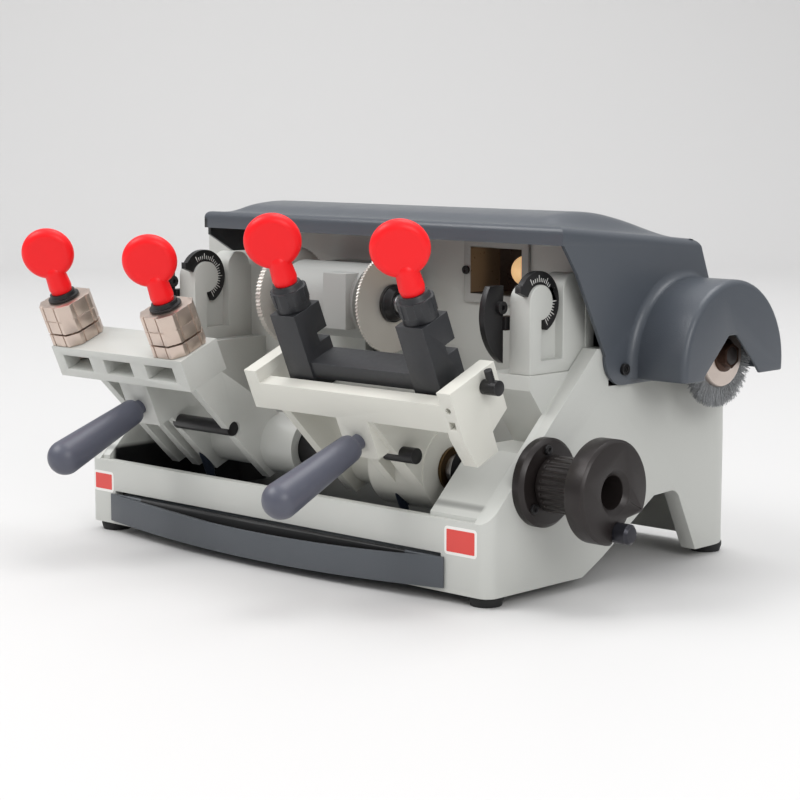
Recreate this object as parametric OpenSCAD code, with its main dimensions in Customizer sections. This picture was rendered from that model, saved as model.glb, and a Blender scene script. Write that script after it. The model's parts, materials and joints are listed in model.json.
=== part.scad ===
// Key duplicating machine with a flat-key station on the left and a bit-key station on the right.
// X runs along the front, from left to right, Y runs towards the rear and Z is up.
// The origin is on the bench, below the middle of the whole machine.

/* [Base casting] */
// Width of the base casting
base_w = 454; // [440:1:560]
// Depth of the base casting at its foot
base_d = 310; // [300:1:380]
// Height of the front wall above the bench
front_h = 62; // [50:1:75]
// Height of the seat that carries the cover
seat_h = 150; // [140:1:156]
// Thickness of the front, rear and inner walls
wall_t = 8; // [5:0.5:10]
// Thickness of the side walls and of the rails along their top
side_t = 14; // [9:0.5:16]
// Height of the gap under the casting
foot_h = 8; // [6:0.5:12]
// Radius of a rubber foot
foot_r = 13; // [10:0.5:16]
// Distance of a foot's centre from the sides of the casting
foot_inset = 16; // [14:1:24]
// How far the rear wall leans in between its foot and the seat
rear_draft = 24; // [12:1:30]

/* [Spindle and cutters] */
// Distance of the spindle behind the front wall
spindle_y = 80; // [74:1:92]
// Height of the spindle above the bench
spindle_z = 206; // [200:1:214]
// Radius of both cutters
cutter_r = 40; // [36:0.5:42]
// Thickness of the flat-key cutter
flat_cutter_t = 5; // [4:0.5:6]
// Thickness of the bit-key cutter
bit_cutter_t = 2; // [1.2:0.1:2.5]
// Radius of the spindle in its bearings
spindle_r = 10; // [8:0.5:11]
// Outer radius of a bearing
bearing_r = 17; // [15:0.5:20]
// Width of a bearing
bearing_w = 10; // [8:0.5:12]
// Outer radius of the spindle housing
barrel_r = 30; // [27:0.5:32]

/* [Stations] */
// Distance between the two clamps of a station
pitch = 129; // [122:1:134]
// Distance of the left-hand tracer from the left side of the base
left_margin = 41; // [36:1:54]
// Distance of the right-hand tracer from the right side of the base
right_margin = 43; // [40:1:60]
// How far the left carriage stands to the left of its tracer at rest
left_shift = 12; // [4:1:14]
// How far the right carriage stands to the right of its tracer at rest
right_shift = 6; // [0:1:8]
// Distance of the carriage shaft behind the front wall
shaft_y = 58; // [54:1:60]
// Height of the carriage shaft above the bench
shaft_z = 87; // [84:1:90]
// Radius of the carriage shaft
shaft_r = 11; // [9:0.5:12]
// Outer radius of a carriage hub
hub_r = 21; // [19:0.5:22]
// Outer radius of the drum on the right-hand carriage
drum_r = 33; // [28:0.5:34]
// Outer radius of the sleeve between the carriages
sleeve_r = 17; // [15:0.5:18]
// How far each carriage slides along its shaft
travel = 10; // [6:1:12]
// Angle by which the carriages lean towards the user at rest
lean = 23; // [18:1:26]

/* [Clamps] */
// Width of a four-sided jaw
jaw_w = 38; // [34:0.5:40]
// Height of the lower jaw
jaw_low_h = 11; // [9:0.5:14]
// Height of the upper jaw
jaw_up_h = 24; // [18:0.5:28]
// Depth of a key seat in a jaw
key_seat = 1.2; // [0.8:0.1:1.5]
// Width of an arm of the bit-key clamp
arm_w = 26; // [22:0.5:28]
// Radius of a knob's round grip
knob_r = 21.5; // [18:0.5:24]
// Thickness of a knob's round grip
knob_t = 13; // [10:0.5:16]

/* [Covers] */
// Thickness of the cover
cover_t = 3; // [2:0.5:4]
// Height of the cover's front lip above the bench
lip_z = 258; // [254:1:262]
// Height of the lip itself
lip_h = 14; // [10:1:18]
// Rise of the crown above the edge of the cover
crown_h = 14; // [8:1:18]
// How far the cover's left end stands in from the side of the base
cover_left_in = 66; // [56:1:74]
// Radius of the brush guard
guard_r = 66; // [62:0.5:68]
// Length of the brush guard along the motor shaft
guard_l = 50; // [46:1:60]

/* [Motor and brush] */
// Distance of the motor shaft behind the front wall
motor_y = 238; // [232:1:239]
// Height of the motor shaft above the bench
motor_z = 168; // [164:1:172]
// Radius of the motor
motor_r = 34; // [30:0.5:35]
// Length of the motor
motor_l = 140; // [110:1:150]
// Radius of the wire brush
brush_r = 42; // [36:0.5:46]
// Radius of the brush's steel plate
brush_plate_r = 25; // [20:0.5:28]
// Radius of the pulley on the spindle
spindle_pulley_r = 20; // [18:0.5:22]
// Radius of the pulley on the motor
motor_pulley_r = 25; // [20:0.5:28]

/* [Handwheel] */
// Radius of the handwheel
wheel_r = 38; // [34:0.5:42]
// Thickness of the handwheel's rim
wheel_t = 16; // [12:0.5:20]
// Radius of the hole in the handwheel's face
wheel_hole_r = 12.5; // [10:0.5:14]
// Distance of the handwheel's face from the side of the base
wheel_out = 68; // [64:1:80]
// Radius of the flange behind the handwheel
flange_r = 33; // [30:0.5:36]

/* [Swarf tray] */
// Height of the tray's front
tray_h = 23; // [18:0.5:26]
// Depth of the tray
tray_d = 108; // [90:1:112]
// How far the tray's front bows out in the middle
tray_bow = 13; // [6:0.5:16]

/* [Fits] */
// Radial clearance of a running fit
run = 0.05; // [0.02:0.01:0.08]
// Clearance between faces that slide or stand close
gap = 0.4; // [0.3:0.05:0.6]

/* [Hidden] */
$fn = 64;

hw = base_w / 2;
inner_x = hw - side_t;
rail_slope = 0.96;
rail_end_y = 122;
head_y = spindle_y + cutter_r + 6;
head_top = spindle_z + barrel_r + 20;
deck_t = 6;
deck_z = motor_z - motor_r - 14;

// Cutters and tracers, from left to right
tracer_a_x = -hw + left_margin;
flat_cutter_x = tracer_a_x + pitch;
tracer_d_x = hw - right_margin;
bit_cutter_x = tracer_d_x - pitch;

// Jaws and clamps, from left to right
jaw_a_x = tracer_a_x - left_shift;
jaw_b_x = flat_cutter_x - left_shift;
head_c_x = bit_cutter_x + right_shift;
head_d_x = tracer_d_x + right_shift;

// Places on a carriage, from the shaft's axis: u runs to the rear and w runs up
jaw_u = -50;
jaw_floor = 112;
jaw_cut = 8;
plate_top = jaw_floor - gap;
plate_h = 27;
plate_u0 = -70;
plate_u1 = -30;
arm_u0 = -48;
arm_u1 = -20;
arm_top = 148;
bar_top = 96;
bar_h = 22;
floor_h = 10;
ear_top = 106;
cross_h = 13;
head_u = -34;
handle_w = 60;
right_handle_w = 56;
handle_l = 90;
grip_root_r = 10.5;
grip_end_r = 14;
collar_h = 6;
neck_h = 17;

// Left carriage, its plate and arms
plate_x0 = jaw_a_x - 13;
plate_x1 = jaw_b_x + 22;
left_mid = (plate_x0 + plate_x1) / 2;
left_hub_x0 = plate_x0 + 34;
left_hub_x1 = plate_x1 + 36;
web_t = 9;

// Right carriage, its bar and ears
yoke_x0 = head_c_x - 46;
yoke_x1 = head_d_x + 36;
yoke_mid = (yoke_x0 + yoke_x1) / 2 - 2;
right_hub_x0 = yoke_x0 + 27;
right_hub_x1 = yoke_x1 - 86;
drum_x0 = yoke_mid - 36;
ear_t = 13;

// Sleeve that telescopes into a deep hole in the left hub
sleeve_x0 = left_hub_x1 - 34;
cup_x0 = sleeve_x0 - 2 * travel - 4;

// Shoulders that hold the ends of the carriage shaft
shoulder_l = -inner_x + 8;
shoulder_r = inner_x - 46;
rail_step = 0.6;
shoulder_y = 48;
buttress_y = shaft_y + drum_r + 3;
overhang_y = spindle_y - 20;
buttress_z = 163;

// Spindle, from left to right
barrel_x0 = flat_cutter_x + 14;
barrel_x1 = bit_cutter_x - 14;
pulley_w = 18;
pulley_x = (barrel_x0 + barrel_x1) / 2 - 2;
pulley_room = 7;
pulley_case_r = spindle_pulley_r + 5;
collar_t = 3.5;
spindle_collar_r = 16;
nose_r = 8;
nut_r = 14;
nut_t = 9;

// Motor, brush and guard
motor_x0 = pulley_x + 22;
motor_shaft_r = 7;
arbor_end = hw + cover_t + guard_l - 12;
brush_x = hw + 27;
brush_t = 12;
guard_floor = seat_h + 4;
guard_y = motor_y - 13;
guard_z = motor_z - 6;

// Cover
cover_x0 = -hw + cover_left_in;
cover_x1 = hw + gap + cover_t;
cover_y0 = spindle_y - 4;
cover_rear_low = base_d - rear_draft + gap + cover_t;
rear_lean = 44;
cover_rear_top = cover_rear_low - rear_lean;
cover_top = lip_z + lip_h;
cover_back_z = cover_top - 16;

// Tray slot in the front wall
tray_x0 = -hw + 34;
tray_x1 = hw - 46;
tray_z0 = foot_h + 3;
slot_top = tray_z0 + tray_h + 2.5;
support_z = slot_top + 1.5;

// The lowest and highest corners of the machine, which set the origin
crank_r = 7.5;
crank_out = 12;
low_x = min(-hw, plate_x0);
high_x = hw + wheel_out + crank_out;
low_y = shaft_y + (plate_u0 + 12 - handle_l) * cos(lean) - handle_w * sin(lean) - grip_end_r;
high_y = base_d;
mid_x = (low_x + high_x) / 2;
mid_y = (low_y + high_y) / 2;

// Puts the machine's middle over the origin
module row() {
    translate([-mid_x, -mid_y, 0]) children();
}

// Puts what is drawn about the carriage shaft in its leaning place
module leaning() {
    translate([0, shaft_y, shaft_z]) rotate([lean, 0, 0]) children();
}

// A round bar along X
module bar_x(r, x0, x1, y = 0, z = 0) {
    translate([x0, y, z]) rotate([0, 90, 0]) cylinder(r = r, h = x1 - x0);
}

// A tapered bar along X
module cone_x(r0, r1, x0, x1, y = 0, z = 0) {
    translate([x0, y, z]) rotate([0, 90, 0]) cylinder(r1 = r0, r2 = r1, h = x1 - x0);
}

// A block between two corners
module block(a, b) {
    translate(a) cube([b[0] - a[0], b[1] - a[1], b[2] - a[2]]);
}

// A flat outline in Y and Z, drawn out along X
module profile_x(x0, x1) {
    translate([x0, 0, 0]) rotate([90, 0, 90]) linear_extrude(x1 - x0) children();
}

// A square with its corners cut off
module cut_square(w, c) {
    polygon([for (q = [0:3], s = [0, 1]) let (
        a = w / 2,
        b = w / 2 - c,
        p = s == 0 ? [a, -b] : [a, b]
    ) [p[0] * cos(90 * q) - p[1] * sin(90 * q), p[0] * sin(90 * q) + p[1] * cos(90 * q)]]);
}

// Height of the sloping rail at a distance behind the front wall
function rail_z(y) = front_h + rail_slope * y;

// Distance of the rear wall behind the front wall at a height
function rear_y(z) = base_d - rear_draft * (z - foot_h) / (seat_h - foot_h);

/* ---- Base ---- */

// Outline of a side wall, up to where the cover takes over
module side_outline(end_y) {
    polygon([
        [0, foot_h],
        [0, front_h],
        [end_y, rail_z(end_y)],
        [end_y + 14, rail_z(end_y)],
        [end_y + 14, seat_h],
        [rear_y(seat_h), seat_h],
        [base_d, foot_h],
    ]);
}

// The arch between the front and rear legs of a side wall
module arch_outline() {
    y0 = base_d * 0.34;
    y1 = base_d - 58;
    top = foot_h + 52;
    r = 12;
    polygon(concat(
        [[y0, foot_h - 1], [y0 + 26, foot_h + 12], [y0 + 90, top - 1]],
        [for (a = [90:-10:20]) [y1 - 34 + r * cos(a), top - r + r * sin(a)]],
        [[y1, foot_h - 1]]
    ));
}

module plan_outline() {
    front_r = 10;
    rear_r = 34;
    translate([-hw + front_r, 0]) square([base_w - 2 * front_r, front_r]);
    translate([-hw, front_r]) square([base_w, base_d - front_r - rear_r]);
    translate([-hw + rear_r, base_d - rear_r]) square([base_w - 2 * rear_r, rear_r]);
    for (s = [-1, 1]) translate([s * (hw - front_r), front_r]) circle(front_r);
    for (s = [-1, 1]) translate([s * (hw - rear_r), base_d - rear_r]) circle(rear_r);
}

// Solid shoulder and buttress that carry one end of the shaft and a tracer arm
module shaft_support(x0, x1, butt_x0, butt_x1) {
    profile_x(x0, x1) polygon([
        [wall_t / 2, support_z],
        [wall_t / 2, rail_z(wall_t / 2) - rail_step],
        [shoulder_y, rail_z(shoulder_y) - rail_step],
        [head_y + 1, rail_z(shoulder_y) - rail_step],
        [head_y + 1, support_z],
    ]);
    profile_x(butt_x0, butt_x1) polygon([
        [buttress_y, support_z],
        [buttress_y, rail_z(shoulder_y)],
        [overhang_y, buttress_z - 11],
        [overhang_y, buttress_z],
        [head_y, buttress_z],
        [head_y, seat_h],
        [head_y + 1, seat_h],
        [head_y + 1, support_z],
    ]);
}

module base_casting() {
    color([0.74, 0.75, 0.72]) row() difference() {
        intersection() {
            linear_extrude(400) plan_outline();
            union() {
                profile_x(inner_x, hw) side_outline(rail_end_y);
                profile_x(-hw, -inner_x) side_outline((seat_h - front_h) / rail_slope);
                block([-hw, 0, foot_h], [hw, wall_t, front_h]);
                profile_x(-hw, hw) polygon([
                    [base_d - wall_t, foot_h],
                    [base_d, foot_h],
                    [rear_y(seat_h), seat_h],
                    [rear_y(seat_h) - wall_t, seat_h],
                ]);
                block([-inner_x - 1, head_y, foot_h + 20], [inner_x + 1, head_y + wall_t, seat_h]);
                profile_x(-inner_x - 1, inner_x + 1) polygon([
                    [head_y, deck_z - deck_t],
                    [head_y, deck_z],
                    [rear_y(deck_z) - 2, deck_z],
                    [rear_y(deck_z - deck_t) - 2, deck_z - deck_t],
                ]);
                block([-inner_x - 1, head_y, seat_h - 8], [cover_x0 + 10, rear_y(seat_h) - 2, seat_h]);
                shaft_support(-inner_x - 1, shoulder_l, -inner_x - 1, tracer_a_x + 46);
                shaft_support(shoulder_r, inner_x + 1, tracer_d_x - 14, inner_x + 1);
                for (x = [-1, 1], y = [foot_inset, base_d - foot_inset - 6])
                    translate([x * (hw - foot_inset), y, foot_h]) cylinder(r = foot_r - 1, h = 14);
            }
        }
        profile_x(-hw - 1, hw + 1) arch_outline();
        block([tray_x0, -1, tray_z0 - gap], [tray_x1, wall_t + 1, slot_top]);
        bar_x(shaft_r + run, -inner_x - 6, hw + 1, shaft_y, shaft_z);
        block([inlet_x - 14 - gap, rear_y(inlet_z) - 20, inlet_z - 12 - gap],
              [inlet_x + 14 + gap, base_d + 1, inlet_z + 12 + gap]);
        block([switch_x - 11 - gap, rear_y(inlet_z) - 20, inlet_z - 14 - gap],
              [switch_x + 11 + gap, base_d + 1, inlet_z + 14 + gap]);
        block([pulley_x - pulley_w / 2 - pulley_room, head_y - 1, seat_h - 16],
              [pulley_x + pulley_w / 2 + pulley_room, head_y + wall_t + 1, seat_h + 1]);
        for (i = [0:6]) block([18 * i - 60, base_d - rear_draft - 12, 60], [18 * i - 52, base_d + 1, 96]);
    }
}

module rubber_feet() {
    color([0.09, 0.09, 0.1]) row()
        for (x = [-1, 1], y = [foot_inset, base_d - foot_inset - 6])
            translate([x * (hw - foot_inset), y, 0]) {
                cylinder(r1 = foot_r - 1.5, r2 = foot_r, h = foot_h * 0.6);
                translate([0, 0, foot_h * 0.6]) cylinder(r = foot_r, h = foot_h * 0.4);
            }
}

/* ---- Spindle head ---- */

// Head wall, spindle housing, the boss on it and the case round the pulley
module spindle_head() {
    room = pulley_w / 2 + pulley_room;
    color([0.76, 0.76, 0.73]) row() difference() {
        union() {
            block([-inner_x + gap, head_y, seat_h], [inner_x - gap, head_y + 10, head_top]);
            bar_x(barrel_r, barrel_x0, barrel_x1, spindle_y, spindle_z);
            block([barrel_x0, spindle_y, spindle_z - barrel_r + 2],
                  [barrel_x1, head_y + 1, spindle_z + barrel_r - 2]);
            block([barrel_x1 - 28, spindle_y - barrel_r - 4, spindle_z - 20],
                  [barrel_x1 - 3, spindle_y + 1, spindle_z + 24]);
        }
        bar_x(spindle_r + 1.5, barrel_x0 - 1, barrel_x1 + 1, spindle_y, spindle_z);
        bar_x(bearing_r + run, barrel_x0 - 1, barrel_x0 + bearing_w, spindle_y, spindle_z);
        bar_x(bearing_r + run, barrel_x1 - bearing_w, barrel_x1 + 1, spindle_y, spindle_z);
        bar_x(pulley_case_r, pulley_x - room, pulley_x + room, spindle_y, spindle_z);
        block([pulley_x - room, spindle_y, spindle_z - barrel_r - 1],
              [pulley_x + room, head_y + 11, spindle_z + pulley_case_r + 1]);
        block([pulley_x - room, head_y - 1, seat_h - 1],
              [pulley_x + room, head_y + 11, spindle_z - barrel_r]);
        block([lamp_x - lamp_w / 2 + 4, head_y - 1, lamp_z - lamp_h / 2 + 4],
              [lamp_x + lamp_w / 2 - 4, head_y + 11, lamp_z + lamp_h / 2 - 4]);
    }
}

module spindle_bearings() {
    color([0.7, 0.7, 0.72]) row()
        for (x = [barrel_x0, barrel_x1 - bearing_w])
            difference() {
                bar_x(bearing_r, x, x + bearing_w, spindle_y, spindle_z);
                bar_x(spindle_r + run, x - 1, x + bearing_w + 1, spindle_y, spindle_z);
            }
}

module spindle_shaft() {
    color([0.6, 0.6, 0.62]) row() {
        x0 = flat_cutter_x + flat_cutter_t / 2;
        x1 = bit_cutter_x - bit_cutter_t / 2;
        bar_x(spindle_r, x0 + collar_t, x1 - collar_t, spindle_y, spindle_z);
        bar_x(spindle_collar_r, x0, x0 + collar_t, spindle_y, spindle_z);
        bar_x(spindle_collar_r, x1 - collar_t, x1, spindle_y, spindle_z);
        bar_x(nose_r, x0 - flat_cutter_t - nut_t - 2, x0, spindle_y, spindle_z);
        bar_x(nose_r, x1, x1 + bit_cutter_t + nut_t + 2, spindle_y, spindle_z);
    }
}

// A cutter with a toothed rim
module toothed_disc(x, t, teeth, depth) {
    difference() {
        translate([x - t / 2, spindle_y, spindle_z]) rotate([0, 90, 0]) linear_extrude(t)
            polygon([for (i = [0:teeth - 1], k = [0, 1]) let (
                r = k == 0 ? cutter_r : cutter_r - depth,
                a = 360 / teeth * (i + 0.35 * k)
            ) [r * cos(a), r * sin(a)]]);
        bar_x(nose_r + run, x - t, x + t, spindle_y, spindle_z);
    }
}

module flat_cutter() {
    color([0.72, 0.72, 0.72]) row() toothed_disc(flat_cutter_x, flat_cutter_t, 80, 1.6);
}

module bit_cutter() {
    color([0.68, 0.66, 0.62]) row() toothed_disc(bit_cutter_x, bit_cutter_t, 90, 1.4);
}

module cutter_nuts() {
    color([0.1, 0.1, 0.1]) row() {
        x0 = flat_cutter_x - flat_cutter_t / 2;
        x1 = bit_cutter_x + bit_cutter_t / 2;
        difference() {
            union() {
                bar_x(nut_r, x0 - 3, x0, spindle_y, spindle_z);
                cone_x(nut_r - 4, nut_r - 1, x0 - nut_t, x0 - 3, spindle_y, spindle_z);
            }
            bar_x(nose_r + run, x0 - nut_t - 1, x0 + 1, spindle_y, spindle_z);
        }
        difference() {
            union() {
                bar_x(nut_r + 1, x1, x1 + 3, spindle_y, spindle_z);
                cone_x(nut_r, nut_r - 3, x1 + 3, x1 + nut_t, spindle_y, spindle_z);
            }
            bar_x(nose_r + run, x1 - 1, x1 + nut_t + 1, spindle_y, spindle_z);
        }
    }
}

// A flanged pulley on a round shaft
module pulley(r, shaft, y, z) {
    difference() {
        union() {
            bar_x(r, pulley_x - pulley_w / 2, pulley_x + pulley_w / 2, y, z);
            for (x = [pulley_x - pulley_w / 2, pulley_x + pulley_w / 2 - 2])
                bar_x(r + 2.5, x, x + 2, y, z);
        }
        bar_x(shaft + run, pulley_x - pulley_w, pulley_x + pulley_w, y, z);
    }
}

module spindle_pulley() {
    color([0.5, 0.5, 0.52]) row() pulley(spindle_pulley_r, spindle_r, spindle_y, spindle_z);
}

module motor_pulley() {
    color([0.5, 0.5, 0.52]) row() pulley(motor_pulley_r, motor_shaft_r, motor_y, motor_z);
}

// Outline of the belt's loop, grown by a distance from the pulleys
module belt_loop(grow) {
    hull() {
        translate([spindle_y, spindle_z]) circle(spindle_pulley_r + grow, $fn = 48);
        translate([motor_y, motor_z]) circle(motor_pulley_r + grow, $fn = 48);
    }
}

module drive_belt() {
    color([0.08, 0.08, 0.08]) row()
        profile_x(pulley_x - pulley_w / 2 + 2 + gap, pulley_x + pulley_w / 2 - 2 - gap)
            difference() {
                belt_loop(gap + 2);
                belt_loop(gap);
            }
}

/* ---- Motor and brush ---- */

module motor_body() {
    x1 = motor_x0 + motor_l;
    color([0.35, 0.36, 0.38]) row() difference() {
        union() {
            bar_x(motor_r, motor_x0, x1, motor_y, motor_z);
            for (a = [0:15:345]) translate([0, motor_y, motor_z]) rotate([a, 0, 0])
                block([motor_x0 + 20, -1.5, motor_r - 2], [x1 - 20, 1.5, motor_r + 1.5]);
            block([motor_x0 + 15, motor_y - 26, deck_z], [x1 - 15, motor_y + 26, motor_z - motor_r + 12]);
        }
        bar_x(motor_shaft_r + run, motor_x0 - 1, x1 + 1, motor_y, motor_z);
    }
}

module motor_shaft() {
    color([0.62, 0.62, 0.64]) row()
        bar_x(motor_shaft_r, pulley_x - pulley_w / 2 - 3, arbor_end, motor_y, motor_z);
}

module brush_plate() {
    x0 = brush_x - brush_t / 2;
    x1 = brush_x + brush_t / 2;
    color([0.68, 0.63, 0.6]) row() difference() {
        union() {
            cone_x(brush_plate_r - 1, brush_plate_r, x0, x0 + 2, motor_y, motor_z);
            bar_x(brush_plate_r, x0 + 2, x1 - 2, motor_y, motor_z);
            cone_x(brush_plate_r, brush_plate_r - 1, x1 - 2, x1, motor_y, motor_z);
            bar_x(13, x1, x1 + 2, motor_y, motor_z);
            translate([x1 + 2, motor_y, motor_z]) rotate([0, 90, 0]) cylinder(r = 10, h = 6, $fn = 6);
        }
        bar_x(motor_shaft_r + run, x0 - 1, x1 + 9, motor_y, motor_z);
    }
}

module brush_bristles() {
    color([0.4, 0.4, 0.42]) row() difference() {
        union() {
            bar_x(brush_r - 3, brush_x - 5, brush_x + 5, motor_y, motor_z);
            cone_x(brush_r - 3, brush_r, brush_x - 5, brush_x - 1, motor_y, motor_z);
            cone_x(brush_r, brush_r - 3, brush_x + 1, brush_x + 5, motor_y, motor_z);
            bar_x(brush_r, brush_x - 1, brush_x + 1, motor_y, motor_z);
        }
        bar_x(brush_plate_r + run, brush_x - brush_t, brush_x + brush_t, motor_y, motor_z);
    }
}

/* ---- Covers ---- */

// Side panel of the cover: it runs down beside the casting and back to the rear
module panel_outline() {
    corner_r = 22;
    difference() {
        union() {
            polygon([
                [cover_y0, lip_z + 2],
                [cover_y0, cover_top],
                [cover_rear_top, cover_back_z],
                [cover_rear_low, seat_h + 1],
                [cover_rear_low, seat_h],
                [cover_y0 + 76, seat_h],
                [cover_y0 + 52, seat_h + 24],
                [cover_y0 + 18, 236],
            ]);
            translate([cover_y0 + 74, seat_h + corner_r]) circle(corner_r);
        }
        translate([cover_y0, seat_h - 30]) square([200, 30]);
    }
}

// The cover's left end stands behind the spindle head
// Cheek under the left end of the lip, in front of the head wall
module left_cheek_outline() {
    cheek_z = lip_z - 21;
    polygon([
        [cover_y0 + 4, lip_z + 1],
        [cover_y0 + 4, lip_z - 6],
        [cover_y0 + 30, cheek_z],
        [head_y - 4, cheek_z],
        [head_y - 4, lip_z + 1],
    ]);
}

module left_panel_outline() {
    polygon([
        [head_y + 10 + gap, lip_z + 2],
        [cover_rear_top, cover_back_z],
        [cover_rear_low, seat_h + 1],
        [cover_rear_low, seat_h],
        [head_y + 10 + gap, seat_h],
    ]);
}

// Height of the crown's back at a distance behind the lip, from 0 to 1
function crown_z(s) = cover_top - 16 * s + crown_h * sin(180 * pow(s, 0.8));

module crown_outline(inset, drop) {
    steps = 20;
    y0 = cover_y0 + 8 + inset;
    y1 = cover_rear_top - 4 - inset;
    polygon(concat(
        [for (i = [0:steps]) [y0 + (y1 - y0) * i / steps, crown_z(i / steps) - drop]],
        [[y1, cover_back_z - 4 - drop], [y0, cover_top - 4 - drop]]
    ));
}

// Outline of the cover from the side, without its crown
module shell_outline(inset) {
    low = inset > 0 ? 1 : 0;
    polygon([
        [cover_y0 + inset, lip_z - low],
        [cover_y0 + inset, cover_top - inset],
        [cover_rear_top - inset, cover_back_z - inset],
        [cover_rear_low - inset, seat_h - low],
        [cover_rear_low - cover_t - inset, seat_h - low],
        [cover_rear_top - 24, lip_z - 14],
        [cover_rear_top - 60, lip_z - low],
    ]);
}

module top_cover() {
    color([0.33, 0.36, 0.4]) row() difference() {
        union() {
            profile_x(cover_x0, cover_x1) shell_outline(0);
            profile_x(cover_x0 + 14, cover_x1 - 14) crown_outline(0, 0);
            profile_x(cover_x1 - cover_t, cover_x1) panel_outline();
            profile_x(cover_x0, cover_x0 + cover_t) left_panel_outline();
            profile_x(cover_x0, cover_x0 + cover_t) left_cheek_outline();
        }
        profile_x(cover_x0 + cover_t, cover_x1 - cover_t) shell_outline(cover_t);
        profile_x(cover_x0 + 14 + cover_t, cover_x1 - 14 - cover_t) crown_outline(cover_t, cover_t);
        bar_x(motor_shaft_r + 3, hw - 2, cover_x1 + 1, motor_y, motor_z);
    }
}

cover_screw_y = cover_y0 + 74;
cover_screw_z = seat_h + 12;

module fixing_screws() {
    lean_a = atan(rear_lean / (cover_back_z - seat_h));
    rise = 14;
    color([0.06, 0.06, 0.06]) row() {
        difference() {
            bar_x(4.5, cover_x1, cover_x1 + 3, cover_screw_y, cover_screw_z);
            bar_x(2, cover_x1 + 1, cover_x1 + 4, cover_screw_y, cover_screw_z);
        }
        for (x = [cover_x0 + 40, cover_x1 - 60])
            translate([x, cover_rear_low - rise * tan(lean_a), seat_h + rise])
                rotate([lean_a - 90, 0, 0]) difference() {
                    cylinder(r = 4.5, h = 3);
                    translate([0, 0, 1]) cylinder(r = 2, h = 3);
                }
        for (a = [10, 130, 250]) translate([hw + 9, shaft_y, shaft_z]) rotate([a, 0, 0])
            translate([0, 0, flange_r - 7.5]) rotate([0, 90, 0]) difference() {
                cylinder(r = 3.6, h = 3);
                translate([0, 0, 1.4]) cylinder(r = 1.8, h = 3, $fn = 6);
            }
    }
}

// Outline of the brush guard from the side
module guard_outline(r) {
    intersection() {
        translate([guard_y, guard_z]) circle(r);
        translate([guard_y - r, guard_floor]) square([2 * r, r + guard_z - guard_floor]);
    }
}

module brush_guard() {
    x0 = cover_x1;
    x1 = cover_x1 + guard_l;
    color([0.33, 0.36, 0.4]) row() difference() {
        profile_x(x0, x1) guard_outline(guard_r);
        profile_x(x0 + cover_t, x1 - cover_t) guard_cavity();
        bar_x(motor_shaft_r + 3, x0 - 1, x0 + cover_t + 1, motor_y, motor_z);
        profile_x(x1 - cover_t - 1, x1 + 1) polygon([
            [guard_y - 40, guard_floor - 1],
            [guard_y - 40, guard_floor + 3],
            [guard_y - 9, guard_z + 24],
            [guard_y + 1, guard_z + 24],
            [guard_y + 26, guard_floor + 8],
            [guard_y + 34, guard_floor - 1],
        ]);
    }
}

module guard_cavity() {
    union() {
        guard_outline(guard_r - cover_t);
        translate([guard_y - guard_r + cover_t + 1, guard_floor - 1])
            square([2 * (guard_r - cover_t - 1), 4]);
    }
}

/* ---- Lamp, switch and inlet ---- */

lamp_w = 66;
lamp_h = 50;
lamp_x = (bit_cutter_x + tracer_d_x) / 2 + 6;
lamp_z = spindle_z + 26;
inlet_x = -hw + 70;
switch_x = -hw + 112;
inlet_z = 76;

module lamp_frame() {
    color([0.3, 0.26, 0.22]) row() difference() {
        union() {
            block([lamp_x - lamp_w / 2, head_y - 3, lamp_z - lamp_h / 2],
                  [lamp_x + lamp_w / 2, head_y, lamp_z + lamp_h / 2]);
            block([lamp_x - lamp_w / 2 + 4 + gap, head_y - 1, lamp_z - lamp_h / 2 + 4 + gap],
                  [lamp_x + lamp_w / 2 - 4 - gap, head_y + 34, lamp_z + lamp_h / 2 - 4 - gap]);
        }
        block([lamp_x - lamp_w / 2 + 7, head_y - 4, lamp_z - lamp_h / 2 + 7],
              [lamp_x + lamp_w / 2 - 7, head_y + 32, lamp_z + lamp_h / 2 - 7]);
    }
}

module lamp_lens() {
    color([1, 0.75, 0.4]) row() {
        translate([lamp_x + 12, head_y + 32, lamp_z]) rotate([90, 0, 0]) cylinder(r = 8, h = 12);
        translate([lamp_x + 12, head_y + 20, lamp_z]) sphere(r = 12);
    }
}

module power_inlet() {
    y1 = rear_y(inlet_z) + 4;
    color([0.07, 0.07, 0.07]) row() difference() {
        union() {
            block([inlet_x - 14, y1 - 26, inlet_z - 12], [inlet_x + 14, y1, inlet_z + 12]);
            block([inlet_x - 20, y1 - 1, inlet_z - 14], [inlet_x + 20, y1 + 1.5, inlet_z + 14]);
        }
        block([inlet_x - 11, y1 - 16, inlet_z - 8], [inlet_x + 11, y1 + 2, inlet_z + 8]);
    }
}

module switch_housing() {
    y1 = rear_y(inlet_z) + 4;
    color([0.07, 0.07, 0.07]) row() difference() {
        union() {
            block([switch_x - 11, y1 - 22, inlet_z - 14], [switch_x + 11, y1, inlet_z + 14]);
            block([switch_x - 13, y1 - 1, inlet_z - 16], [switch_x + 13, y1 + 1.5, inlet_z + 16]);
        }
        block([switch_x - 8, y1 - 14, inlet_z - 11.5], [switch_x + 8, y1 + 2, inlet_z + 11.5]);
    }
}

module switch_rocker() {
    y1 = rear_y(inlet_z) + 4;
    color([0.7, 0.1, 0.08]) row() translate([switch_x, y1 - 3, inlet_z]) rotate([7, 0, 0])
        intersection() {
            bar_x(9.6, -7.5, 7.5);
            block([-8, -6, -12], [8, 9, 12]);
        }
}

/* ---- Shaft and handwheel ---- */

module main_shaft() {
    color([0.7, 0.7, 0.72]) row() bar_x(shaft_r, -inner_x - 6, hw + 6, shaft_y, shaft_z);
}

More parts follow.
